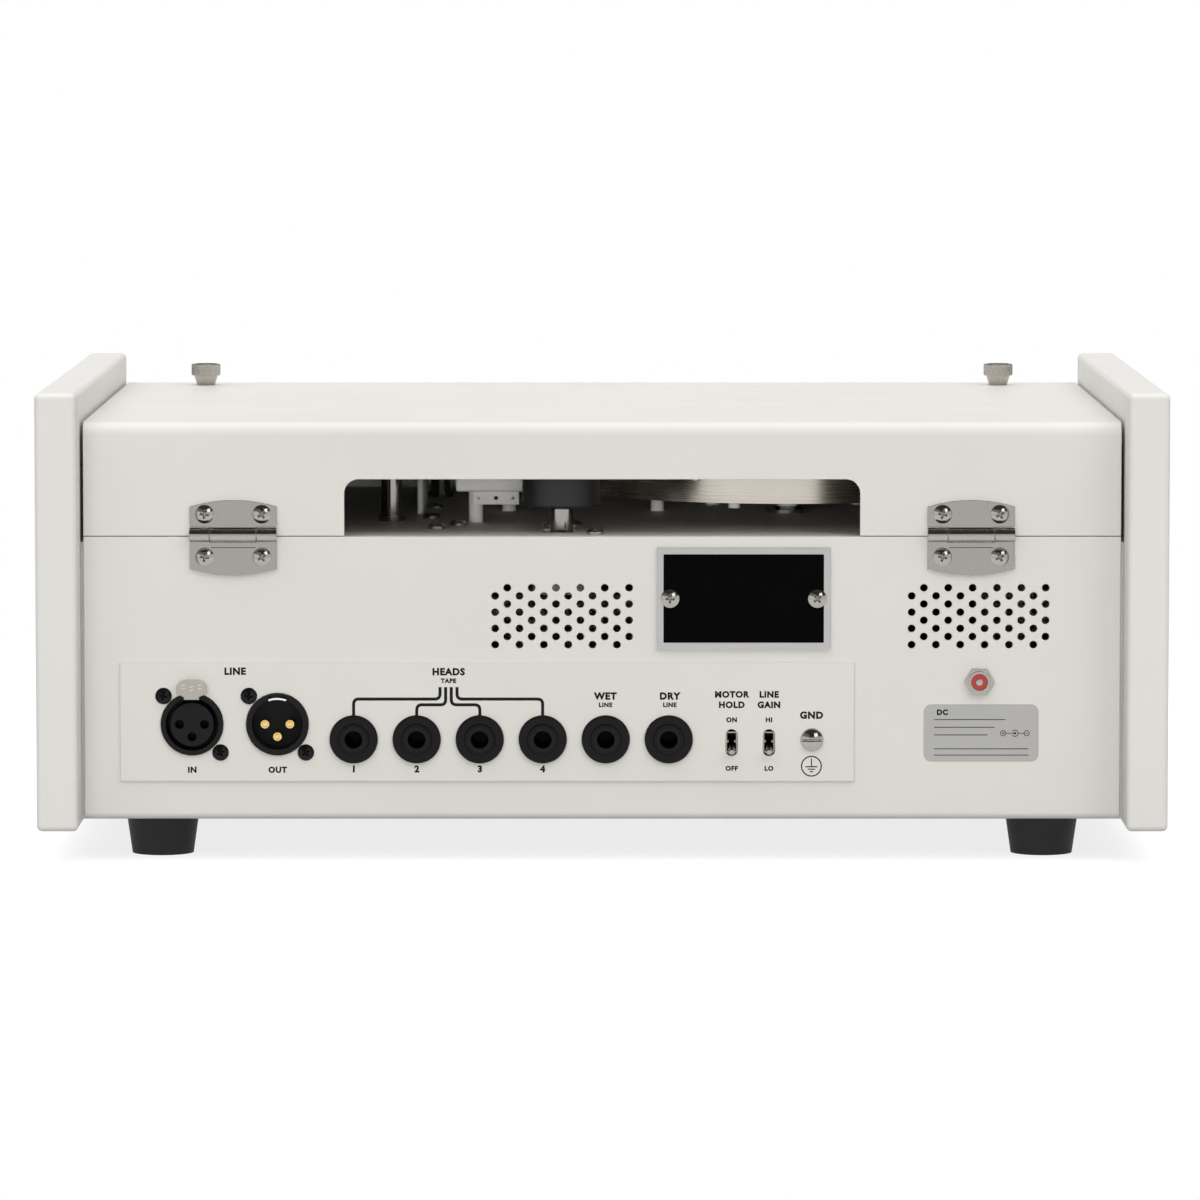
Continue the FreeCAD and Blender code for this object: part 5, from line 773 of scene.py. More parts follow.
class ECHO_OT_rear_print(Operator):
    """Print the legends, lead lines and earth symbol on the connector plate"""
    bl_idname = "echo.rear_print"
    bl_label = "Rear print"

    def execute(self, context):
        size = marks()
        letter = size.letter
        small = size.small_letter
        rear = Print("rear", high("connector_plate")[1])
        for line, x, z, height in (
            ("LINE", 133.8, 69.7, letter), ("IN", 149.5, 33.6, small), ("OUT", 118.4, 33.6, small),
            ("HEADS", 56.0, 69.5, letter), ("TAPE", 56.0, 66.2, 0.75 * small),
            ("WET", -1.2, 60.6, letter), ("LINE", -1.2, 57.4, 0.75 * small),
            ("DRY", -24.6, 60.6, letter), ("LINE", -24.6, 57.4, 0.75 * small),
            ("MOTOR", -47.2, 61.2, 0.9 * letter), ("HOLD", -47.2, 57.4, 0.9 * letter),
            ("ON", -47.2, 51.9, 0.8 * small), ("OFF", -47.2, 34.1, 0.8 * small),
            ("LINE", -60.8, 61.2, 0.9 * letter), ("GAIN", -60.8, 57.4, 0.9 * letter),
            ("HI", -60.8, 51.9, 0.8 * small), ("LO", -60.8, 34.1, 0.8 * small),
            ("GND", EARTH_X, 53.6, letter),
        ):
            rear.text(line, x, z, height)
        for number, x in enumerate(JACK_ROW, start=1):
            rear.text(str(number), x, 33.9, size.digit)
        for drop, x in zip(LEAD_DROPS, JACK_ROW):
            turn = LEAD_OUTER if x in (JACK_ROW[0], JACK_ROW[3]) else LEAD_INNER
            rear.line(rounded_path([(drop, LEAD_TOP), (drop, turn), (x, turn), (x, LEAD_FOOT)], 1.9))
        rear.line(ring_points(EARTH_X, EARTH_Z, EARTH_RADIUS), 0.45 * MM, closed=True)
        rear.line([(EARTH_X, EARTH_Z + 2.9), (EARTH_X, EARTH_Z - 0.2)], 0.4 * MM)
        for drop, half in ((0.2, 2.2), (1.1, 1.4), (2.0, 0.6)):
            rear.line([(EARTH_X - half, EARTH_Z - drop), (EARTH_X + half, EARTH_Z - drop)], 0.4 * MM)
        rear.piece("rear_print", "case", "ink", "black_plastic")
        slot = Print("rear", high("xlr_output_socket")[1])
        x, _, z = middle("xlr_output_socket") / MM
        slot.line(arc(9.35, 70, 110, 16, (x, z)), 0.7 * MM)
        slot.piece("output_latch_slot", "case", "white ink", "white_plastic")
        return {"FINISHED"}


REAR_WALL = 125.0 * MM
LABEL_START = -121
POLARITY_SPOT = (-150.5, 46.9)


class ECHO_OT_rating_label(Operator):
    """Stick the grey label with its ruled lines and polarity symbol on the rear wall"""
    bl_idname = "echo.rating_label"
    bl_label = "Rating label"

    def execute(self, context):
        thick = 0.12 * MM
        shape = slab(rounded_outline(41.9 * MM, 20.9 * MM, 2.8 * MM), thick, 0.04 * MM)
        film = flat_piece("rating_label", "rear", shape, (-138.15 * MM, REAR_WALL, 47.05 * MM), "case",
                          finish("label grey"))
        marked = Print("rear", REAR_WALL + thick)
        for z, end in ((51.9, -147), (49.1, -143), (46.3, -140.5), (41.2, -155.5), (38.9, -155.5)):
            marked.line([(LABEL_START, z), (end, z)], 0.28 * MM)
        marked.text("DC", -124.0, 54.6, 1.9 * MM)
        x, z = POLARITY_SPOT
        outer, thin = 4.3, 0.22 * MM
        for ring_x in (x - outer, x + outer):
            marked.line(ring_points(ring_x, z, 0.95, 24), 0.25 * MM, closed=True)
            marked.line([(ring_x - 0.5, z), (ring_x + 0.5, z)], thin)
        marked.line([(x + outer, z - 0.5), (x + outer, z + 0.5)], thin)
        marked.line(arc(1.15, 35, 325, 20, (x, z)), 0.25 * MM)
        marked.add(slab(arc(0.42 * MM, 0, 345, 24), marks().lift), x * MM, z * MM)
        marked.line([(x - 3.3, z), (x - 1.2, z)], thin)
        marked.line([(x + 0.4, z), (x + 3.3, z)], thin)
        marked.piece("rating_label_print", "case", "ink", "black_plastic")
        return {"FINISHED"}


PLATE_FRAME = 2.35 * MM


class ECHO_OT_nameplate(Operator):
    """Fill the nameplate's brushed frame with black enamel"""
    bl_idname = "echo.nameplate"
    bl_label = "Nameplate enamel"

    def execute(self, context):
        wide = high("nameplate")[0] - low("nameplate")[0] - 2 * PLATE_FRAME
        tall = high("nameplate")[2] - low("nameplate")[2] - 2 * PLATE_FRAME
        shape = slab(rounded_outline(wide, tall, 0.3 * MM, 3), 0.05 * MM)
        spot = middle("nameplate")
        spot[1] = high("nameplate")[1]
        enamel = flat_piece("nameplate_enamel", "rear", shape, spot, "case", finish("plate black"))
        return {"FINISHED"}


# ---- turned parts --------------------------------------------------------------------------------
def smooth_step(low_edge, high_edge, value):
    """Nought below one edge, one above the other, and 3t^2 - 2t^3 between them."""
    share = np.clip((value - low_edge) / (high_edge - low_edge), 0, 1)
    return share * share * (3 - 2 * share)


def fluting(count, depth, start, end, sharpness=1.0):
    """Ripple that cuts a number of flutes into a turned part between two heights.

    The radius is lessened by depth times |cos(count a / 2)| to a power, faded in and out at the ends.
    """
    fade = 0.35 * MM

    def ripple(height, angle, radius):
        band = smooth_step(start, start + fade, height) * (1 - smooth_step(end - fade, end, height))
        return -depth * band * np.abs(np.cos(count * angle / 2)) ** sharpness

    return ripple


def rounded_profile(corners, rows=4):
    """A profile through (radius, height, rounding) corners in millimetres: each corner with a rounding
    becomes a quadratic curve from that far before it to that far after it."""
    corners = np.asarray(corners, float)
    spots = corners[:, :2]
    path = []
    for index, (radius, height, rounding) in enumerate(corners):
        if rounding == 0 or index in (0, len(corners) - 1):
            path.append(spots[index:index + 1])
            continue
        before = spots[index - 1] - spots[index]
        after = spots[index + 1] - spots[index]
        first = spots[index] + before / np.linalg.norm(before) * rounding
        last = spots[index] + after / np.linalg.norm(after) * rounding
        share = np.linspace(0, 1, rows)[:, None]
        path.append((1 - share) ** 2 * first + 2 * share * (1 - share) * spots[index] + share ** 2 * last)
    return np.vstack(path) * MM


def split_rows(profile, start, end, count):
    """The profile with extra rows put in between two heights, so that a ripple there has points."""
    heights = profile[:, 1]
    after = int(np.argmax(heights >= end))
    before = after - 1
    share = np.linspace(0, 1, count + 2)[1:-1, None]
    extra = profile[before] * (1 - share) + profile[after] * share
    return np.vstack([profile[:after], extra, profile[after:]])


KNURLS = 60


class ECHO_OT_thumbscrews(Operator):
    """Turn the two knurled thumbscrews that hold the lid down"""
    bl_idname = "echo.thumbscrews"
    bl_label = "Thumbscrews"

    def execute(self, context):
        for side in ("left", "right"):
            node = f"thumbscrew_{side}"
            profile = rounded_profile([
                (0, -3.5, 0), (1.95, -3.5, 0.3), (1.95, 0.04, 0), (3.55, 0.04, 0.1), (3.65, 0.5, 0.2),
                (4.55, 3.3, 0.25), (4.6, 3.75, 0.1), (5.45, 3.78, 0.25), (5.72, 4.2, 0.15), (5.72, 8.0, 0.15),
                (5.4, 8.42, 0.25), (4.3, 8.45, 0.15), (4.1, 8.2, 0.15), (0, 8.15, 0),
            ])
            profile = split_rows(profile, 4.1 * MM, 7.8 * MM, 5)
            spot = middle(node)
            spot[2] = high("lid")[2]
            screw = turned_piece(node + "_knurled", profile, 6 * KNURLS, "Z", spot, f"thumb_{side}",
                                 finish("knurled metal"), fluting(KNURLS, 0.2 * MM, 3.9 * MM, 8.35 * MM, 0.7))
            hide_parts(node)
        return {"FINISHED"}


def screw_head(radius, rim, crown, turn, arms=2, reach=0.45, half=0.085, deep=0.8, rings=40, sides=96):
    """Points and faces of a domed head, in metres, that stands on z = 0.

    At a share s of the radius the dome is rim + crown (1 - s^2) high. The driver's slot is cut from it
    where |v| is under half the slot's width and |u| under its reach, both as shares of the radius, with
    a soft edge; a second slot across the first makes a cross.
    """
    share = np.linspace(0, 1, rings)[:, None]
    angle = np.linspace(0, 2 * math.pi, sides, endpoint=False)[None, :]
    u = share * np.cos(angle - turn)
    v = share * np.sin(angle - turn)
    soft = 0.035

    def slot(along, across):
        inside = 1 - smooth_step(half - soft, half + soft, np.abs(across))
        return inside * (1 - smooth_step(reach - soft, reach + soft, np.abs(along)))

    cut = slot(u, v) if arms == 1 else np.maximum(slot(u, v), slot(v, u))
    height = rim + crown * (1 - share ** 2) - deep * (rim + crown) * cut
    x = radius * share * np.cos(angle)
    y = radius * share * np.sin(angle)
    dome = np.stack([x, y, height], axis=-1)
    foot = dome[-1:] * np.array([1, 1, 0])
    return np.vstack([dome, foot]).reshape(-1, 3), grid_faces(rings + 1, sides, True)


HINGE_X = 134.2
HINGE_Z = 119.6
LEAF_FACE = 126.2
LEAF_SCREW_X = 10.4
LEAF_SCREW_UP = 7.5
LEAF_SCREW_DOWN = 8.1
SEAM_HALF = 8.1
SEAM_DROP = 4.7
PLATE_SCREW_X = 26.8
CONNECTOR_FACE = 125.8
SOCKET_SPOTS = {
    "xlr_input_socket": (149.5, CONNECTOR_FACE, 50.3),
    "xlr_output_socket": (118.4, CONNECTOR_FACE, 50.3),
}
SOCKET_SCREW = 10.35
SWITCH_MOUTH = (122.6, 43.5)


class ECHO_OT_screw_heads(Operator):
    """Round the heads of the screws in the rear face and cut their driver slots"""
    bl_idname = "echo.screw_heads"
    bl_label = "Screw heads"

    def execute(self, context):
        lid_screws, case_screws, sockets = [], [], []
        for hinge in (-HINGE_X, HINGE_X):
            for x in (hinge - LEAF_SCREW_X, hinge + LEAF_SCREW_X):
                lid_screws.append((x, LEAF_FACE, HINGE_Z + LEAF_SCREW_UP))
                case_screws.append((x, LEAF_FACE, HINGE_Z - LEAF_SCREW_DOWN))
        plate = middle("nameplate") / MM
        face = high("nameplate")[1] / MM
        case_screws += [(plate[0] + x, face, plate[2]) for x in (-PLATE_SCREW_X, PLATE_SCREW_X)]
        for x, y, z in SOCKET_SPOTS.values():
            sockets += [(x - SOCKET_SCREW, y, z - SOCKET_SCREW), (x + SOCKET_SCREW, y, z + SOCKET_SCREW)]
        self.heads("hinge_lid_screws", "lid", lid_screws, 3.4, "chrome", "chrome")
        self.heads("panel_screws", "case", case_screws, 3.4, "chrome", "chrome")
        self.heads("xlr_screws", "case", sockets, 3.0, "black screw", "black_plastic")
        return {"FINISHED"}

    def heads(self, node, body, spots, radius, finish_name, slot):
        points, faces, count = [], [], 0
        for number, spot in enumerate(spots):
            head, sides = screw_head(radius * MM, 0.45 * MM, 1.35 * MM, 0.5 + 0.83 * number)
            points.append(set_down(head, "+Y", np.array(spot) * MM))
            faces.append(sides + count)
            count += len(head)
        made = mesh_piece(node + "_heads", np.vstack(points), np.vstack(faces), body, finish(finish_name),
                          smooth=True)
        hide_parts(node)


class ECHO_OT_earth_screw(Operator):
    """Fit the earth screw: a wide slotted dome over its washer"""
    bl_idname = "echo.earth_screw"
    bl_label = "Earth screw"

    def execute(self, context):
        spot = middle("earth_terminal")
        spot[1] = CONNECTOR_FACE * MM
        washer = rounded_profile([(0, 0, 0), (4.2, 0, 0), (4.2, 0.6, 0.15), (0, 0.6, 0)])
        disc = turned_piece("earth_washer", washer, 64, "+Y", spot, "case", finish("chrome"))
        head, sides = screw_head(3.9 * MM, 0.9 * MM, 1.5 * MM, 0.0, arms=1, reach=1.1, half=0.09, deep=0.45)
        spot[1] += 0.3 * MM
        made = mesh_piece("earth_screw_head", set_down(head, "+Y", spot), sides, "case", finish("chrome"),
                          smooth=True)
        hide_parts("earth_terminal")
        return {"FINISHED"}


class ECHO_OT_inlet_contact(Operator):
    """Fit the bright end of the power inlet's centre contact"""
    bl_idname = "echo.inlet_contact"
    bl_label = "Inlet contact"

    def execute(self, context):
        spot = middle("dc_inlet_insulator")
        spot[1] = high("dc_inlet_insulator")[1]
        tip = rounded_profile([(0, -1.0, 0), (1.3, -1.0, 0), (1.3, 0.1, 0.25), (0, 0.12, 0)])
        made = turned_piece("inlet_contact", tip, 48, "+Y", spot, "case", finish("nickel"))
        return {"FINISHED"}


class ECHO_OT_switch_collars(Operator):
    """Line each rear switch's slot with its bright mouth"""
    bl_idname = "echo.switch_collars"
    bl_label = "Switch collars"

    def execute(self, context):
        shape = strip(rounded_outline(3.8 * MM, 7.2 * MM, 0.5 * MM), 0.5 * MM, 0.9 * MM, closed=True)
        y, z = SWITCH_MOUTH
        for node in ("auto_stop_lever", "output_level_lever"):
            spot = (middle(node)[0], y * MM, z * MM)
            collar = flat_piece(node + "_collar", "rear", shape, spot, "case", finish("nickel"))
        return {"FINISHED"}


class ECHO_OT_hinge_seams(Operator):
    """Draw a dark line across each hinge below its knuckle: painted shadow along the embossed seam of the leaf
    """
    bl_idname = "echo.hinge_seams"
    bl_label = "Hinge seam shadows"

    def execute(self, context):
        # Painted shadow: a thin strip in the dark screw finish stands in for the shade along the embossed seam
        # on the chrome leaf.
        seam_shadows = Print("rear", LEAF_FACE * MM)
        half, z = SEAM_HALF, HINGE_Z - SEAM_DROP
        for x in (-HINGE_X, HINGE_X):
            seam_shadows.line([(x - half, z), (x + half, z)], 0.22 * MM)
        seam_shadows.piece("hinge_seams", "case", "black screw", "chrome")
        return {"FINISHED"}


class ECHO_OT_output_contacts(Operator):
    """Turn the output socket's three round contacts, with a groove in each flat end"""
    bl_idname = "echo.output_contacts"
    bl_label = "Output contacts"

    def execute(self, context):
        x, _, z = SOCKET_SPOTS["xlr_output_socket"]
        profile = rounded_profile([
            (0, 0, 0), (1.6, 0, 0), (1.6, 11.5, 0.15), (1.1, 11.5, 0), (1.05, 11.35, 0), (0.85, 11.35, 0),
            (0.8, 11.5, 0), (0, 11.5, 0),
        ])
        for number, (aside, up) in enumerate(((-4.55, 0), (4.55, 0), (0, -4.55)), start=1):
            spot = np.array([x + aside, low("xlr_output_pins")[1] / MM, z + up]) * MM
            pin = turned_piece(f"output_contact_{number}", profile, 48, "+Y", spot, "case", finish("gold"))
        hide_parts("xlr_output_pins")
        return {"FINISHED"}


class ECHO_OT_latch_grip(Operator):
    """Raise short bars on the push latch"""
    bl_idname = "echo.latch_grip"
    bl_label = "Latch grip"

    def execute(self, context):
        top = high("xlr_latch")
        latch_x, latch_top = middle("xlr_latch")[0] / MM, top[2] / MM
        grip = Print("rear", top[1])
        for aside, drop in ((-2.9, 1.9), (2.9, 1.9), (0, 2.5), (-3.0, 3.2), (3.0, 3.2), (0, 3.8)):
            x, z = latch_x + aside, latch_top - drop
            grip.line([(x - 0.7, z + 0.12), (x + 0.7, z - 0.12)], 0.3 * MM)
        grip.piece("latch_grip", "latch", "white moulding", "grey_plastic")
        return {"FINISHED"}


KNOB_TALL = 13.0


class ECHO_OT_knobs(Operator):
    """Turn the fluted knobs with their spun caps and white pointers"""
    bl_idname = "echo.knobs"
    bl_label = "Knobs"

    def execute(self, context):
        for node, body, flutes in (
            ("input_level_knob", "input_knob", 20), ("echo_level_knob", "echo_knob", 20),
            ("repeat_knob", "repeat_control", 20), ("speed_knob", "speed_control", 20),
            ("mode_selector_knob", "selector", 30),
        ):
            self.knob(node, body, flutes)
        return {"FINISHED"}

    def knob(self, node, body, flutes):
        spot = middle(node)
        spot[1] = FRONT_FACE
        rim = (high(node)[0] - low(node)[0]) / 2 / MM
        grip = rim - 2.0
        top = (FRONT_FACE - low(node)[1]) / MM
        base = top - KNOB_TALL
        profile = rounded_profile([
            (0, -2.0, 0), (2.9, -2.0, 0), (2.9, base, 0), (rim - 0.4, base, 0), (rim, base + 0.3, 0.2),
            (rim, base + 1.3, 0.4), (grip + 0.6, base + 2.0, 0.3), (grip, base + 2.6, 0.4),
            (grip - 0.9, top - 1.0, 0.5), (grip - 1.9, top, 0.5), (grip - 4.2, top, 0.1),
            (grip - 4.3, top - 0.4, 0.1), (0, top - 0.4, 0),
        ])
        profile = split_rows(profile, (base + 3.0) * MM, (top - 1.6) * MM, 8)
        flute = fluting(flutes, 0.75 * MM, (base + 2.3) * MM, (top - 0.2) * MM, 1.6)
        grip_piece = turned_piece(node + "_grip", profile, flutes * 8, "-Y", spot, body,
                                  finish("knob black"), flute)
        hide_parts(node)
        disc = rounded_profile([
            (0, top - 0.5, 0), (grip - 4.4, top - 0.5, 0), (grip - 4.4, top - 0.05, 0.1),
            (grip - 5.2, top, 0.1), (0.5 * grip, top - 0.12, 0.3), (0, top - 0.15, 0),
        ])
        cap = turned_piece(node + "_cap", disc, marks().sides, "-Y", spot, body, finish(f"{node} cap"))
        pointer = Print("front", spot[1] - top * MM)
        x = spot[0] / MM
        z = spot[2] / MM
        pointer.line([(x, z + grip - 4.1), (x, z + grip - 1.5)], 1.3 * MM)
        pointer.face = spot[1] - (base + 2.02) * MM
        pointer.line([(x, z + grip + 0.5), (x, z + rim - 0.9)], 1.0 * MM)
        pointer.piece(node + "_pointer", body, "white ink", "white_plastic")


# ---- level meter ---------------------------------------------------------------------------------
METER_RIM = 5.0 * MM
METER_PIVOT = 9.0
SCALE_RADIUS = 25.5
SCALE_HALF = 45.0


class ECHO_OT_level_meter(Operator):
    """Fit the dial card, its scale, the lower mask and the window of the level meter"""
    bl_idname = "echo.level_meter"
    bl_label = "Level meter"

    def execute(self, context):
        centre = middle("meter_case")
        wide = high("meter_case")[0] - low("meter_case")[0] - 2 * METER_RIM
        tall = high("meter_case")[2] - low("meter_case")[2] - 2 * METER_RIM
        card_back, card_thick, mask_tall = 6 * MM, 0.4 * MM, 8.5 * MM
        self.plate("meter_card", wide, tall, (centre[0], FRONT_FACE + card_back, centre[2]), card_thick,
                   "dial cream", "white_plastic")
        mask_spot = (centre[0], FRONT_FACE + 1.2 * MM, centre[2] - tall / 2 + mask_tall / 2)
        self.plate("meter_mask", wide, mask_tall, mask_spot, 1.0 * MM, "black moulding", "black_plastic")
        window_spot = (centre[0], low("meter_case")[1] + 2.2 * MM, centre[2])
        self.plate("meter_window", wide, tall, window_spot, 1.2 * MM, "glass", None)
        self.scale(centre, FRONT_FACE + card_back - card_thick)
        return {"FINISHED"}

    def plate(self, name, wide, tall, spot, thick, finish_name, slot):
        shape = slab(rounded_outline(wide, tall, 0.8 * MM, 5), thick, 0.12 * MM)
        made = flat_piece(name, "front", shape, spot, "case", finish(finish_name))

    def scale(self, centre, face):
        """Arc, ticks and numbers about the needle's pivot; the last fifth is a red band."""
        x = centre[0] / MM
        z = low("meter_case")[2] / MM + METER_PIVOT
        black = Print("front", face)
        red = Print("front", face)

        def turn(share):
            return 90 + SCALE_HALF - share * 2 * SCALE_HALF

        black.line(arc(SCALE_RADIUS, turn(0), turn(0.78), 48, (x, z)), 0.35 * MM)
        red.line(arc(SCALE_RADIUS + 0.5, turn(0.785), turn(1), 16, (x, z)), 1.3 * MM)
        for share, text in (
            (0, "20"), (0.22, "10"), (0.36, "7"), (0.5, "5"), (0.64, "3"), (0.78, "0"), (1, "3"),
        ):
            ink_used = black if share < 0.79 else red
            ink_used.line(arc_ray(turn(share), SCALE_RADIUS, SCALE_RADIUS + 1.9, x, z), 0.4 * MM)
            number = arc_ray(turn(share), SCALE_RADIUS + 3.4, SCALE_RADIUS + 4, x, z)[0]
            ink_used.text(text, number[0], number[1], 1.9 * MM)
        for share in (0.08, 0.15, 0.29, 0.43, 0.57, 0.71, 0.89):
            black.line(arc_ray(turn(share), SCALE_RADIUS, SCALE_RADIUS + 1.1, x, z), 0.25 * MM)
        black.text("VU", x, z + 12, 3.2 * MM)
        black.piece("meter_scale", "case", "ink", "black_plastic")
        red.piece("meter_red_scale", "case", "pointer red", "red_pointer")


def arc_ray(angle, inner, outer, x, z):
    """Two points on a ray from a centre, at two distances."""
    way = np.array([math.cos(math.radians(angle)), math.sin(math.radians(angle))])
    return np.array([x, z]) + np.array([[inner], [outer]]) * way


# ---- front face ----------------------------------------------------------------------------------
FRONT_FACE = -127.5 * MM
POWER_Z = 84.0
FRONT_JACKS = (-164.0, -141.0)
FRONT_JACK_Z = 42.0


class ECHO_OT_front_print(Operator):
    """Print the dials, numbers and legends on the front panel"""
    bl_idname = "echo.front_print"
    bl_label = "Front print"

    def execute(self, context):
        front = Print("front", FRONT_FACE)
        size = marks()
        for node, label in (
            ("input_level_knob", "INPUT"), ("echo_level_knob", "ECHO"), ("repeat_knob", "REPEAT"),
            ("speed_knob", "SPEED"), ("mode_selector_knob", "MODE"),
        ):
            x, _, z = middle(node) / MM
            rim = (high(node)[0] - low(node)[0]) / 2 / MM
            for step in range(11):
                angle = 240 - 30 * step
                front.line(arc_ray(angle, rim + 1.6, rim + 3.6, x, z), 0.5 * MM)
                spot = arc_ray(angle, rim + 6.2, rim + 7, x, z)[0]
                if rim > 15 or step % 5 == 0:
                    front.text(str(step), spot[0], spot[1], size.digit * 0.85)
            front.text(label, x, z - rim - 8.4, size.letter * 1.1)
        x, _, z = middle("power_switch_lever") / MM
        front.text("ON", x, POWER_Z + 11.5, size.letter)
        front.text("OFF", x, POWER_Z - 11.5, size.letter)
        front.text("POWER", x, POWER_Z - 17.5, size.letter * 1.1)
        for number, jack_x in enumerate(FRONT_JACKS, start=1):
            front.text(f"IN {number}", jack_x, FRONT_JACK_Z - 12.5, size.letter)
        front.piece("front_print", "case", "ink", "black_plastic")
        return {"FINISHED"}


LAMP_SPOT = (166.0, 56.0)


class ECHO_OT_pilot_lamp(Operator):
    """Fit the pilot lamp: a turned bezel round an amber lens"""
    bl_idname = "echo.pilot_lamp"
    bl_label = "Pilot lamp"

    def execute(self, context):
        spot = (LAMP_SPOT[0] * MM, FRONT_FACE, LAMP_SPOT[1] * MM)
        ring = rounded_profile([
            (3.2, 0.0, 0), (5.4, 0.0, 0), (5.4, 0.9, 0.3), (4.6, 2.2, 0.4), (3.4, 2.4, 0.2), (3.2, 1.9, 0.1),
            (3.2, 0.0, 0),
        ])
        bezel = turned_piece("pilot_lamp_bezel", ring, marks().sides, "-Y", spot, "case", finish("chrome"))
        share = np.linspace(0, 1, 12)[:, None] * math.pi / 2
        dome = np.hstack([3.2 * np.cos(share), 1.6 + 1.9 * np.sin(share)]) * MM
        dome = np.vstack([[[0, 0]], [[3.2 * MM, 0]], dome])
        lamp = turned_piece("pilot_lamp_lens", dome, 48, "-Y", spot, "case", finish("amber lens"))
        return {"FINISHED"}


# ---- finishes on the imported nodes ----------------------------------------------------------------
class ECHO_OT_finishes(Operator):
    """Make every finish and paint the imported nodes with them"""
    bl_idname = "echo.finishes"
    bl_label = "Finishes"

    def execute(self, context):
        make_finishes()
        missing = set(NODES) ^ {node for nodes in FINISH_NODES.values() for node in nodes}
        if missing:
            raise RuntimeError(f"nodes and finishes differ: {sorted(missing)}")
        for key, nodes in FINISH_NODES.items():
            for node in nodes:
                NODES[node].data.materials.clear()
                NODES[node].data.materials.append(finish(key))
        return {"FINISHED"}


# ---- stage ---------------------------------------------------------------------------------------
FADE_START = 0.30
FADE_END = 0.85
LAMP_AIM = np.array([0, 0, 0.08])
HIDDEN_FROM_MIRRORS = ("window_lamp", "front_lamp")


def seen_rays(tree):
    """One for rays from the camera, off a mirror or through glass, and nought for rays that only light."""
    path = tree.nodes.new("ShaderNodeLightPath")
    total = path.outputs["Is Camera Ray"]
    for label in ("Is Glossy Ray", "Is Transmission Ray"):
        total = arithmetic(tree, "MAXIMUM", total, path.outputs[label])
    return total


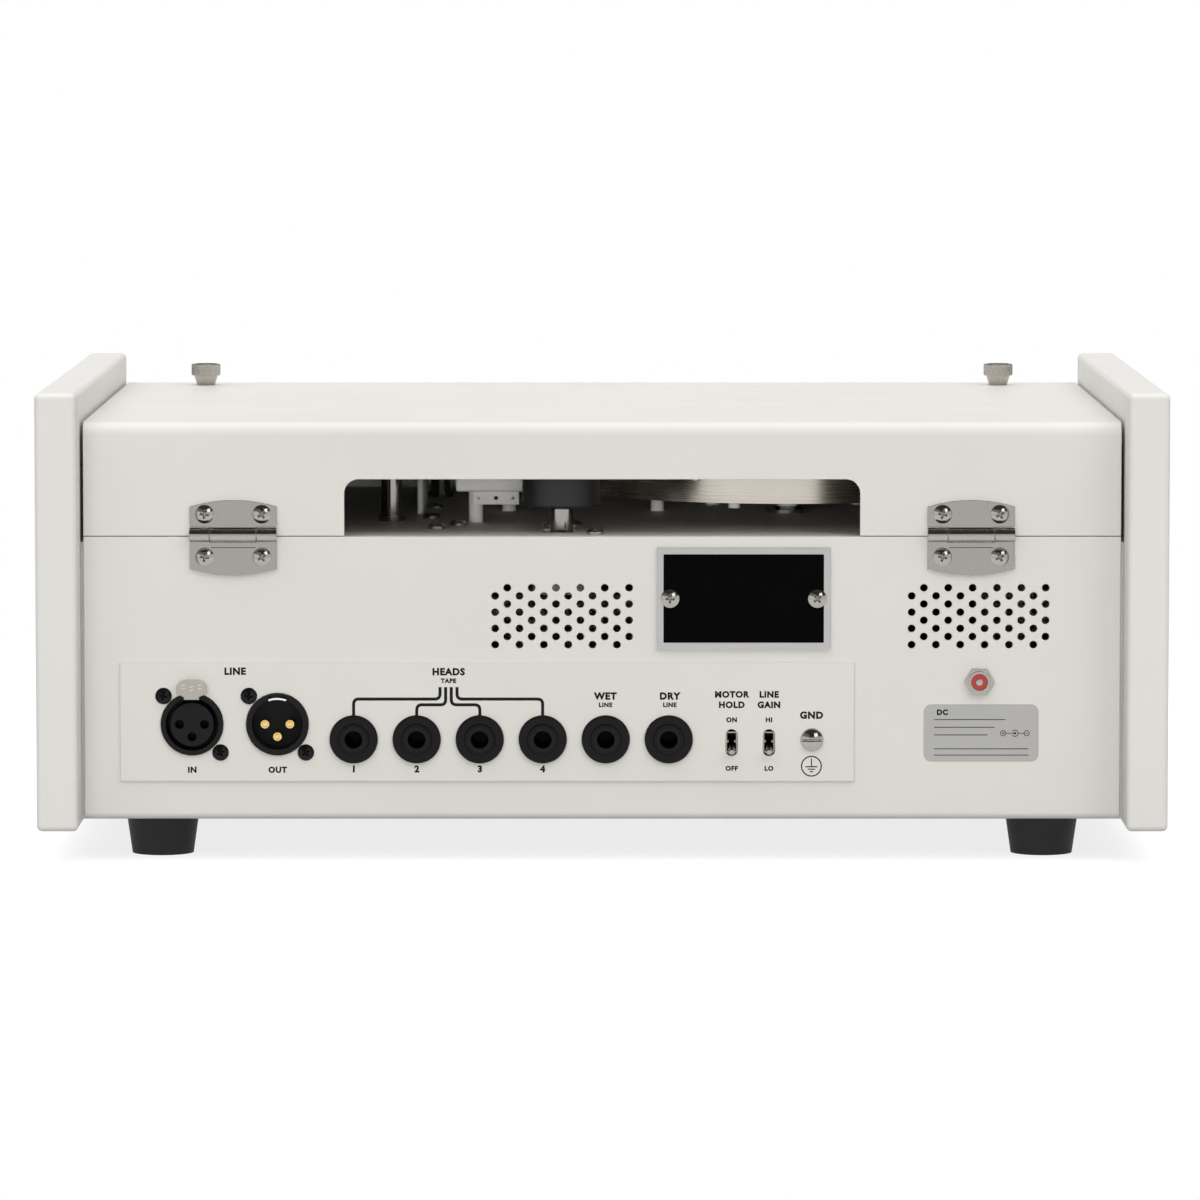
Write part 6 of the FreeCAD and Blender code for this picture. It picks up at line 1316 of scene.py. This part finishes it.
class ECHO_OT_stage(Operator):
    """Lay the floor, hang the soft lamps and set the camera behind the unit"""
    bl_idname = "echo.stage"
    bl_label = "Stage"

    def execute(self, context):
        stage = context.scene.echo_stage
        self.floor()
        self.world(stage.sky)
        for name, spot, size, power in (
            ("key_lamp", (-1.6, 2.3, 1.7), (1.3, 1.3), stage.key),
            ("fill_lamp", (1.8, 1.9, 0.9), (2.0, 2.0), stage.fill),
            ("front_lamp", (0.7, -2.5, 1.1), (2.0, 1.0), stage.front),
            ("window_lamp", (0.25, 3.0, 0.26), (1.8, 0.28), stage.window),
        ):
            self.lamp(name, spot, size, power)
        self.camera(stage)
        context.scene.view_settings.view_transform = "Standard"
        return {"FINISHED"}

    def floor(self):
        """A large flat sheet that takes the unit's shadow and fades to plain white away from it."""
        half = 12.0
        corners = np.array([[-half, -half, 0], [half, -half, 0], [half, half, 0], [-half, half, 0]])
        mesh = bpy.data.meshes.new("floor")
        mesh.from_pydata(corners.tolist(), [], [[0, 1, 2, 3]])
        sheet = bpy.data.objects.new("floor", mesh)
        bpy.context.scene.collection.objects.link(sheet)
        made, tree, shader, place = material("floor_paper", specular=0.0)
        speckle = noise(tree, place, 30.0, 3.0, 0.5)
        paper = blend_colour(tree, speckle, (0.31, 0.31, 0.31), (0.33, 0.33, 0.33))
        reach = vector_length(tree, place)
        away = remap(tree, reach, FADE_START, FADE_END, 0.0, 1.0)
        seen = seen_rays(tree)
        near = blend_colour(tree, away, (0.30, 0.30, 0.30), (0.0, 0.0, 0.0))
        tree.links.new(blend_colour(tree, seen, paper, near), shader.inputs["Base Color"])
        glow = arithmetic(tree, "MULTIPLY", remap(tree, reach, FADE_START, FADE_END, 0.80, 1.0), seen)
        shader.inputs["Emission Color"].default_value = (1, 1, 1, 1)
        tree.links.new(glow, shader.inputs["Emission Strength"])
        shader.inputs["Roughness"].default_value = 0.9
        mesh.materials.append(made)

    def world(self, strength):
        """Pale surroundings that light softly; seen or mirrored they are white up to a darker ceiling."""
        world = bpy.data.worlds.new("studio")
        world.use_nodes = True
        tree = world.node_tree
        tree.nodes.clear()
        soft = tree.nodes.new("ShaderNodeBackground")
        soft.inputs["Color"].default_value = (1, 1, 1, 1)
        white = tree.nodes.new("ShaderNodeBackground")
        white.inputs["Strength"].default_value = 1.0
        place = tree.nodes.new("ShaderNodeTexCoord")
        apart = tree.nodes.new("ShaderNodeSeparateXYZ")
        tree.links.new(place.outputs["Generated"], apart.inputs[0])
        ceiling = remap(tree, apart.outputs["Z"], 0.22, 0.36, 0.0, 1.0)
        tint = blend_colour(tree, ceiling, (1.0, 1.0, 1.0), (0.04, 0.04, 0.04))
        tree.links.new(tint, white.inputs["Color"])
        rise = remap(tree, apart.outputs["Z"], 0.25, 1.0, 0.0, 3.9 * strength)
        tree.links.new(rise, soft.inputs["Strength"])
        choose = tree.nodes.new("ShaderNodeMixShader")
        out = tree.nodes.new("ShaderNodeOutputWorld")
        tree.links.new(seen_rays(tree), choose.inputs[0])
        tree.links.new(soft.outputs[0], choose.inputs[1])
        tree.links.new(white.outputs[0], choose.inputs[2])
        tree.links.new(choose.outputs[0], out.inputs[0])
        bpy.context.scene.world = world

    def lamp(self, name, spot, size, power):
        """A rectangular lamp turned towards the unit; some are hidden from mirrors."""
        data = bpy.data.lights.new(name, "AREA")
        data.shape = "RECTANGLE"
        data.size, data.size_y = size
        data.energy = power
        item = bpy.data.objects.new(name, data)
        bpy.context.scene.collection.objects.link(item)
        item.visible_glossy = name not in HIDDEN_FROM_MIRRORS
        way = LAMP_AIM - np.asarray(spot, float)
        item.location = spot
        item.rotation_euler = Vector(way).to_track_quat("-Z", "Y").to_euler()

    def camera(self, stage):
        data = bpy.data.cameras.new("camera")
        data.lens = stage.lens
        data.sensor_width = 36.0
        data.clip_end = 50.0
        item = bpy.data.objects.new("camera", data)
        bpy.context.scene.collection.objects.link(item)
        item.location = (stage.aside, stage.back, stage.rise)
        item.rotation_euler = (math.radians(90) - stage.pitch, 0, math.pi)
        bpy.context.scene.camera = item


# ---- panel and registration ----------------------------------------------------------------------
STEPS = (
    ECHO_OT_finishes, ECHO_OT_rear_print, ECHO_OT_rating_label, ECHO_OT_nameplate, ECHO_OT_thumbscrews,
    ECHO_OT_screw_heads, ECHO_OT_earth_screw, ECHO_OT_inlet_contact, ECHO_OT_switch_collars,
    ECHO_OT_hinge_seams, ECHO_OT_output_contacts, ECHO_OT_latch_grip, ECHO_OT_knobs, ECHO_OT_level_meter,
    ECHO_OT_front_print, ECHO_OT_pilot_lamp, ECHO_OT_stage,
)


class ECHO_PT_panel(Panel):
    """Lists the unit's steps and settings"""
    bl_idname = "ECHO_PT_panel"
    bl_label = "Tape Echo"
    bl_space_type = "VIEW_3D"
    bl_region_type = "UI"
    bl_category = "Tape Echo"

    def draw(self, context):
        for step in STEPS:
            self.layout.operator(step.bl_idname)
        for settings in (context.scene.echo_paints, context.scene.echo_marks, context.scene.echo_stage):
            box = self.layout.box()
            for key in settings.__annotations__:
                box.prop(settings, key)


SETTINGS = {
    "echo_paints": ECHO_PaintSettings, "echo_marks": ECHO_MarkSettings, "echo_stage": ECHO_StageSettings,
}


def register():
    for cls in (*SETTINGS.values(), *STEPS, ECHO_PT_panel):
        bpy.utils.register_class(cls)
    for key, cls in SETTINGS.items():
        setattr(bpy.types.Scene, key, PointerProperty(type=cls))


def unregister():
    for key in SETTINGS:
        delattr(bpy.types.Scene, key)
    for cls in (ECHO_PT_panel, *reversed(STEPS), *reversed(SETTINGS.values())):
        bpy.utils.unregister_class(cls)


def main():
    register()
    for step in STEPS:
        group, name = step.bl_idname.split(".")
        getattr(getattr(bpy.ops, group), name)()


if __name__ == "__main__":
    main()
